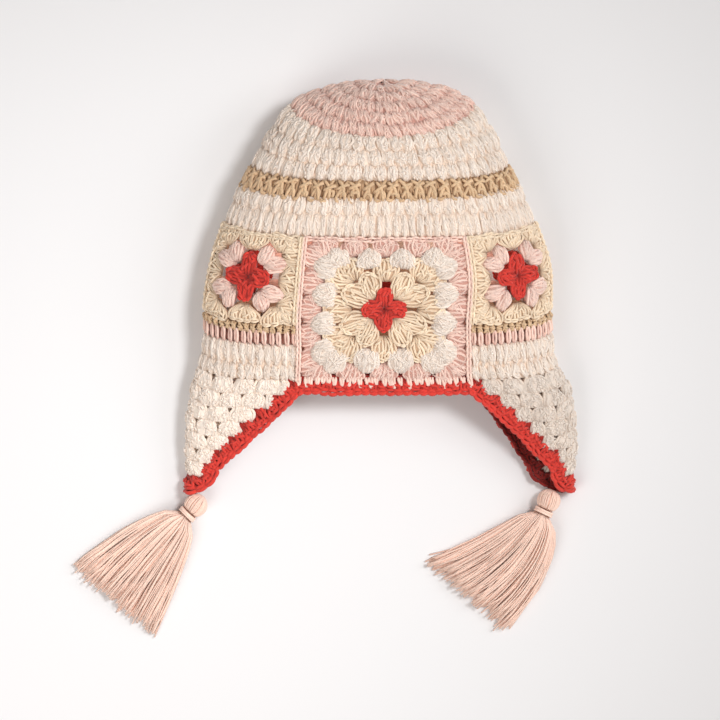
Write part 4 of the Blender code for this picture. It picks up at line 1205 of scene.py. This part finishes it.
def flap_stitches(fabric, rng, flap, row):
    """One row of a flap's clusters on both faces, and the ground that leaves the holes between them open."""
    centres, widths, depth = flap_row(flap, row)
    start = max(depth - FLAP_HOLE / 2, 0.0003)
    end = min(depth + FLAP_ROW_PITCH - FLAP_HOLE / 2, flap.length)
    height = end - start
    direction = 1 if flap.fold == 0.0 else -1
    around = flap.fold + direction * centres / BRIM_ARC
    along = np.full(len(around), FABRIC_TO_BRIM + (start + end) / 2)
    for inside in (False, True):
        stitches = block(
            rng, widths * 1.08, height * 1.05, radius=WOOL * 1.05, fan=0.50, fan_power=4.0, loose=0.6,
            overlap=0.09, notch=0.10, lumps=0.10, tufts=0 if inside else 30, hairs=0 if inside else 14,
            spread=1.1, tuck=0.0003, pillow_rise=0.65, tuft_length=0.30, tuft_size=0.6,
        )
        # depth 1.0 paints the flap's soft bodies in the full surface colour, with no painted gap shade
        lay_stitches(fabric, around, along, stitches, rng, inside=inside, depth=1.0)
    t = np.linspace(0, 1, 4)[None, :, None]
    s = np.linspace(-1, 1, 7)[None, None, :]
    hole = FLAP_HOLE * 1.5 * np.exp(-((t - 0.12) / 0.22) ** 2)
    half = np.maximum(widths[:, None, None] / 2 - hole / 2, 0.001) * np.ones_like(t)
    # depth 0.7 gives the ground between the flap's clusters a little painted gap shade
    ground(
        fabric, around[:, None, None] + half * s / BRIM_ARC,
        FABRIC_TO_BRIM + start + (height - 0.0001) * t + 0 * (half * s), high=0.0002, depth=0.7,
    )


def ear_flap(rng, flap):
    fabric = Fabric()
    row = -1
    while row < 0 or FLAP_FIRST_HOLES + row * FLAP_ROW_PITCH < flap.length - 0.004:
        flap_stitches(fabric, rng, flap, row)
        row += 1
    # Painted light: the flap's whole colour is raised or lowered by its last field, standing in for the light
    # falling off from left to right
    fabric.tone = [values + flap.tone for values in fabric.tone]
    finish_piece(flap.name + "_yarn", fabric, "white", [flap.name])


def edge_line():
    """The free edge of the whole opening as fabric places, even steps apart, with outward directions."""

    def flap_edge(flap):
        straight = np.linspace(GAP / 2, flap.length - TIP_RUN, 12)[1:]
        angles = np.linspace(0, math.pi / 2, 10)[1:]
        below = np.concatenate([straight, flap.length - TIP_RUN + TIP_RUN * np.sin(angles)])
        direction = 1 if flap.fold == 0.0 else -1
        front = [(flap.fold + direction * flap_reach(flap, b, True) / BRIM_ARC, b) for b in below]
        back = [(flap.fold - direction * flap_reach(flap, b, False) / BRIM_ARC, b) for b in below[:-1]]
        return [(float(a), FABRIC_TO_BRIM + float(b)) for a, b in front + back[::-1]]

    left, right = FLAPS
    front_brim = [(a, FABRIC_TO_BRIM) for a in np.linspace(BIG_FROM, BIG_TO, 24)]
    back_brim = [(a, FABRIC_TO_BRIM) for a in np.linspace(2 - BIG_TO, 2 - BIG_FROM, 24)]
    left_edge = [(a + 2.0, b) for a, b in flap_edge(left)][::-1]
    flat = np.array(front_brim + flap_edge(right) + back_brim + left_edge) * np.array([BRIM_ARC, 1.0])
    flat = np.vstack([flat, flat[0] + [2 * BRIM_ARC, 0.0]])
    run = np.concatenate([[0.0], np.linalg.norm(np.diff(flat, axis=0), axis=1).cumsum()])
    count = int(run[-1] / 0.001)
    even = np.linspace(0, run[-1], count + 1)
    line = np.stack([np.interp(even, run, flat[:, axis]) for axis in range(2)], axis=1)
    whole_turn = np.array([2 * BRIM_ARC, 0.0])
    reach = 4
    wrapped = np.vstack([line[-reach - 1:-1] - whole_turn, line, line[1:reach + 1] + whole_turn])
    way = unit(wrapped[2 * reach:] - wrapped[:-2 * reach])
    outwards = np.stack([-way[:, 1], way[:, 0]], axis=1)
    return even, line, way, outwards


EDGE_RUN, EDGE_LINE, EDGE_WAY, EDGE_OUT = edge_line()
EDGE_LENGTH = float(EDGE_RUN[-1])


def edge_points(run, out, lift):
    """Points of the edging: run along the opening's edge, out from it, lifted off the sheet."""
    turns = np.floor(run / EDGE_LENGTH)
    rest = run - turns * EDGE_LENGTH
    x, y, nx, ny = [
        np.interp(rest, EDGE_RUN, values) for values in (*EDGE_LINE.T, *EDGE_OUT.T)
    ]
    around = (x + nx * out + turns * 2 * BRIM_ARC) / BRIM_ARC
    return place(around, y + ny * out, lift)


def edge_around(run):
    return np.interp(run % EDGE_LENGTH, EDGE_RUN, EDGE_LINE[:, 0]) / BRIM_ARC


def lay_edge(fabric, group, rng, inside=False, sides=5):
    """Strands given by their run along the edge and their distance out from it."""
    strands, radii = group
    steps = strands.shape[2]
    places = edge_around(strands[:, 0, 0, 0])
    seen = (places % 2.0 <= 1.0) != inside
    if steps > 6 and not seen.all():
        lay_edge(fabric, (strands[~seen][:, :, ::3], radii[~seen][:, :, ::3]), rng, inside, 4)
        strands, radii = strands[seen], radii[seen]
    points = edge_points(strands[..., 0], strands[..., 1], strands[..., 2])
    sweep(fabric, points, strands[..., 2], radii, rng, sides)


def edging_ground(fabric):
    """The closed band under the edging's posts and links."""
    run = np.linspace(0, EDGE_LENGTH, EDGING_COLUMNS + 1)[:-1]
    out = np.linspace(-0.0050, EDGING_WIDTH - 0.0012, 5)[:, None]
    x, y = [
        np.interp(run, EDGE_RUN, EDGE_LINE[:, axis]) + np.interp(run, EDGE_RUN, EDGE_OUT[:, axis]) * out
        for axis in range(2)
    ]
    # depth 0.3 paints the edging's ground mostly in the gap shade colour, as painted shade between posts
    ground(fabric, (x / BRIM_ARC)[None], y[None], closed=True, high=-0.0002, low=-0.0034, depth=0.3)


def red_edging(rng):
    """Red single crochet: teeth into the white, posts, and a braid of links along the very edge."""
    fabric = Fabric()
    count = round(EDGE_LENGTH / 0.0060)
    run = (np.arange(count) + 0.5) * (EDGE_LENGTH / count)
    on_flap = np.interp(run, EDGE_RUN, np.abs(EDGE_WAY[:, 1])) > 0.25
    saw = np.where(on_flap, 0.0036 * ((np.arange(count) % 2) * 1.0) + 0.0004, 0.0006)
    links = round(EDGE_LENGTH / 0.0056)
    link = EDGE_LENGTH / links
    apart = 0.0005 * np.array([1.0, -1.0])[None, :, None]
    for inside in (False, True):
        flip, base = (-1, -0.0040) if inside else (1, 0.0)
        for offset, turns in ((-0.0018, 0.45), (0.0018, 0.55)):
            starts = np.stack([run + offset * 0.5, -saw], axis=1) + rng.normal(0, 0.0004, (count, 2))
            ends = np.stack([run + offset * 1.1, np.full(count, 0.0058)], axis=1)
            ends = ends + rng.normal(0, 0.0005, (count, 2))
            strands, radii = twisted_posts(
                rng, starts, ends, THICK_RED * 0.90, turns=turns, bulge=0.0009, wraps=offset > 0,
            )
            strands[..., 2] = base + flip * strands[..., 2]
            radii = radii * (1 + rng.normal(0, 0.07, radii.shape[:2]))[..., None]
            lay_edge(fabric, (strands, radii), rng, inside)
        starts = np.stack([(np.arange(links)) * link, np.full(links, 0.0066)], axis=1)
        ways = unit(np.stack([np.ones(links), rng.normal(0.0, 0.10, links)], axis=1))
        strands, radii = links_along(rng, starts, ways, link * 0.92, 0.0015, THICK_RED * 1.18, 0.0006)
        strands[..., 1] += rng.normal(0, 0.00025, (links, 2, 1))
        strands[..., 2] = base + flip * (strands[..., 2] + apart)
        lay_edge(fabric, (strands, radii), rng, inside)
    edging_ground(fabric)
    finish_piece("red_edging_yarn", fabric, "red", ["red_edging"])


def tassel_axes(tassel):
    """The head's middle and the directions along the tassel, across it and up."""
    aim = math.radians(tassel.aim + tassel.bend)
    ahead = np.array([math.cos(aim), math.sin(aim), 0.0])
    side = np.array([-ahead[1], ahead[0], 0.0])
    low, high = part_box(tassel.name + "_binding")
    ring = HEAD_RADIUS * math.cos(math.asin(NECK_RADIUS / HEAD_RADIUS)) + GAP + BINDING_RADIUS * 1.3
    centre = np.array((low + high) / 2) - ring * ahead
    centre[2] = HEAD_RADIUS
    return centre, ahead, side, np.array([0.0, 0.0, 1.0]), ring


def tassel_spot(tassel, centre, share, across):
    start = HEAD_RADIUS + NECK_LENGTH / 2
    reach = start + share * (TASSEL_LENGTH - start)
    aim = np.radians(tassel.aim + tassel.bend * (1 - share))
    half = NECK_RADIUS * 0.9 + (SKIRT_HALF_WIDTH - NECK_RADIUS * 0.9) * np.maximum(share, 0)**0.55
    x = centre[0] + reach * np.cos(aim) - across * half * np.sin(aim)
    y = centre[1] + reach * np.sin(aim) + across * half * np.cos(aim)
    return x, y


def tassel_head(fabric, rng, axes):
    """Strands from pole to neck of the round head, over a core."""
    centre, ahead, side, up, _ = axes
    radius = TASSEL_STRAND * 1.25
    strands = 34
    turn = 2 * math.pi * (np.arange(strands) + rng.uniform(-0.2, 0.2, strands)) / strands
    t = np.linspace(0, 1, 10)
    angle = math.radians(174) * (1 - t) + math.asin(NECK_RADIUS / HEAD_RADIUS) * t
    axial = (HEAD_RADIUS - radius) * np.cos(angle)
    radial = (HEAD_RADIUS - radius) * np.sin(angle)
    swirl = turn[:, None] + 0.35 * (1 - t)[None, :] + rng.normal(0, 0.05, (strands, 1))
    out = np.cos(swirl)[..., None] * side + np.sin(swirl)[..., None] * up
    paths = centre + axial[None, :, None] * ahead + radial[None, :, None] * out
    shape = paths.shape[:2]
    # Painted shade: the head's strands take a little of the gap shade colour (depth 0.9)
    tubes(fabric, paths, np.full(shape, radius), np.full(shape, 0.9), rng.normal(0, 1, strands), 5)
    core = centre + ((HEAD_RADIUS - 2 * radius) * np.cos(angle))[None, :, None] * ahead
    core_radii = np.maximum((HEAD_RADIUS - 1.6 * radius) * np.sin(angle), 0.0002)[None, :]
    # Painted shade: the core inside the head is painted mostly in the gap shade colour (depth 0.3)
    tubes(fabric, core, core_radii, np.full(core.shape[:2], 0.3), np.zeros(1), 12)


def tassel_skirt(fabric, rng, tassel_row, centre):
    """The free strands, a little wavy, drawn together in clumps and of uneven length."""
    count, clumps = SKIRT_STRANDS, SKIRT_CLUMPS
    rng.integers(0, clumps, count)  # Keeps the later draws in their order
    clump_centre = (np.arange(clumps) + 0.5 + rng.uniform(-0.25, 0.25, clumps)) / clumps * 2 - 1
    even = (-1 + 2 * (np.arange(count) + 0.5) / count) * 0.98
    nearest = np.abs(even[:, None] - clump_centre[None, :]).argmin(axis=1)
    pull = clump_centre[nearest]
    layer = rng.uniform(0, 1, count)
    t = np.linspace(0, 1, 11)[None, :]
    stretch = 1 + rng.normal(0, 0.032, (count, 1)) - 0.04 * rng.uniform(0, 1, (clumps,))[nearest][:, None]
    share = t * stretch
    gather = 0.30 * np.sin(math.pi * np.clip(t * 0.75, 0, 1))
    wiggle = rng.normal(0, 0.030, (count, 1)) * t**2 + rng.normal(0, 0.020, (count, 1)) * np.sin(
        math.pi * 1.5 * t + rng.uniform(0, 6.3, (count, 1)))
    wiggle = wiggle + rng.normal(0, 0.012, (count, 1)) * t * np.sin(
        math.pi * 4.2 * t + rng.uniform(0, 6.3, (count, 1)))
    gathered = np.where(layer > 0.45, 1.0, 0.0)[:, None] * gather
    across = even[:, None] + (pull - even)[:, None] * gathered + wiggle
    x, y = tassel_spot(tassel_row, centre, share, across)
    swell = np.sin(math.pi * np.minimum(share * 1.6, 0.5))
    full = 2 * NECK_RADIUS + (SKIRT_HEIGHT - 2 * NECK_RADIUS) * swell
    height = full + (SKIRT_END_HEIGHT - full) * share**2
    base = (HEAD_RADIUS - NECK_RADIUS) * np.maximum(0.0, 1 - 3 * share)
    crowned = height * (1 - 0.45 * across**2)
    strand = TASSEL_STRAND * (1 + rng.normal(0, 0.08, (count, 1)))
    lower = 1 - 0.10 * np.abs(across - pull[:, None]) * clumps / 2
    z = base + strand + layer[:, None] * np.maximum(crowned - 2 * strand, 0) * lower
    radii = strand * (0.9 + 0.1 * np.cos(t)) * np.ones_like(t)
    # Painted shade: strands lower in the skirt take more of the darker gap shade colour
    depth = np.clip(0.35 + 0.65 * layer, 0, 1)[:, None] * np.ones_like(t)
    tubes(fabric, np.stack([x, y, z], axis=-1), radii, depth, rng.normal(0, 1, count), 4)


def tassel_binding(fabric, rng, axes):
    """Four turns of yarn round the neck."""
    centre, ahead, side, up, ring = axes
    steps = 26
    turn = 2 * math.pi * np.linspace(0, 1, steps)[None, :] * 1.04
    out = np.cos(turn)[..., None] * side + np.sin(turn)[..., None] * up
    for wrap in range(4):
        offset = (wrap - 1.5) * 0.00085 + 0.0003 * np.sin(turn + wrap)
        reach = NECK_RADIUS + GAP + 0.0003 + 0.0002 * (wrap % 2)
        paths = centre + (ring + offset)[..., None] * ahead + reach * out
        # The binding takes a little painted gap shade (depth 0.8)
        tubes(fabric, paths, np.full((1, steps), 0.00062), np.full((1, steps), 0.8), rng.normal(0, 1, 1), 6)


def tassel(rng, tassel_row):
    axes = tassel_axes(tassel_row)
    fabric = Fabric()
    tassel_head(fabric, rng, axes)
    tassel_skirt(fabric, rng, tassel_row, axes[0])
    finish_piece(tassel_row.name + "_yarn", fabric, "tassel", [tassel_row.name])
    fabric = Fabric()
    tassel_binding(fabric, rng, axes)
    finish_piece(tassel_row.name + "_binding_yarn", fabric, "tassel", [tassel_row.name + "_binding"])


HAT_MIDDLE = (0.0, -0.05, 0.02)
FLOOR_REACH = 3.0
KEY_ENERGY = 11.0
BEAM_ENERGY = 126.0
FILL_ENERGY = 11.5
GLOW_ENERGY = 0.022
KEY_OFFSET = (1.55, 0.25, 1.05)
BEAM_PLACE = (0.95, 0.35, 1.9)
BEAM_AIM = (-0.22, -0.17, 0.0)
SIDE_PLACE = (-0.80, -1.05, 1.15)
GLOW_PLACES = ((-0.06, -0.03, 0.022), (0.06, -0.03, 0.022), (0.0, 0.03, 0.03))
WORLD_STRENGTH = 0.295
CAMERA = (-0.01295, -0.1085, 2.5)
VIEW_WIDTH = 0.504
SENSOR = 36.0


def link_in(thing):
    bpy.context.scene.collection.objects.link(thing)
    return thing


def lamp(name, kind, energy, colour, location, target=None, **settings):
    """A light, aimed at its target if it has one."""
    light = bpy.data.lights.new(name, kind)
    for setting, value in settings.items():
        setattr(light, setting, value)
    light.energy = energy
    light.color = colour
    thing = link_in(bpy.data.objects.new(name, light))
    thing.location = location
    if target:
        thing.rotation_euler = (Vector(target) - thing.location).to_track_quat("-Z", "Y").to_euler()
    return thing


def camera():
    data = bpy.data.cameras.new("camera")
    data.sensor_width = SENSOR
    data.lens = SENSOR * CAMERA[2] / VIEW_WIDTH
    data.clip_end = 50.0
    thing = link_in(bpy.data.objects.new("camera", data))
    thing.location = CAMERA
    bpy.context.scene.camera = thing


def studio():
    """A pale floor, a soft key light from the right and an even fill."""
    mesh = bpy.data.meshes.new("floor")
    corners = [(x * FLOOR_REACH, y * FLOOR_REACH, 0) for x, y in ((-1, -1), (1, -1), (1, 1), (-1, 1))]
    mesh.from_pydata(corners, [], [(0, 1, 2, 3)])
    floor = link_in(bpy.data.objects.new("floor", mesh))
    material = bpy.data.materials.new("paper")
    material.use_nodes = True
    shader = material.node_tree.nodes["Principled BSDF"]
    shader.inputs["Base Color"].default_value = (0.86, 0.855, 0.86, 1.0)
    shader.inputs["Roughness"].default_value = 0.9
    shader.inputs["Specular IOR Level"].default_value = 0.1
    mesh.materials.append(material)

    lamp(
        "key", "AREA", KEY_ENERGY, (0.99, 0.985, 0.985), Vector(HAT_MIDDLE) + Vector(KEY_OFFSET),
        HAT_MIDDLE, shape="RECTANGLE", size=0.9, size_y=0.9,
    )
    lamp(
        "beam", "SPOT", BEAM_ENERGY, (0.985, 0.99, 1.0), BEAM_PLACE, BEAM_AIM,
        spot_size=math.radians(31), spot_blend=1.0, shadow_soft_size=0.30,
    )
    lamp(
        "side_fill", "AREA", FILL_ENERGY, (1.0, 0.950, 0.915), SIDE_PLACE, HAT_MIDDLE,
        shape="DISK", size=1.2,
    )
    for number, spot in enumerate(GLOW_PLACES):
        glow = lamp(
            f"through_fabric_{number}", "POINT", GLOW_ENERGY, (1.0, 0.86, 0.80), spot, shadow_soft_size=0.012,
        )
        glow.visible_camera = False

    world = bpy.data.worlds.new("fill")
    world.use_nodes = True
    background = world.node_tree.nodes["Background"]
    background.inputs[0].default_value = (1.0, 0.968, 0.945, 1.0)
    background.inputs[1].default_value = WORLD_STRENGTH
    bpy.context.scene.world = world
    bpy.context.scene.view_settings.view_transform = "Standard"


def main():
    camera()
    studio()
    crown_disc(np.random.default_rng(1))
    upper_white(np.random.default_rng(2))
    beige_stripe(np.random.default_rng(3))
    lower_white(np.random.default_rng(4))
    squares(np.random.default_rng(5))
    side_rows(np.random.default_rng(6))
    for number, flap in enumerate(FLAPS):
        ear_flap(np.random.default_rng(7 + number), flap)
    red_edging(np.random.default_rng(9))
    for number, row in enumerate(TASSELS):
        tassel(np.random.default_rng(10 + number), row)


main()
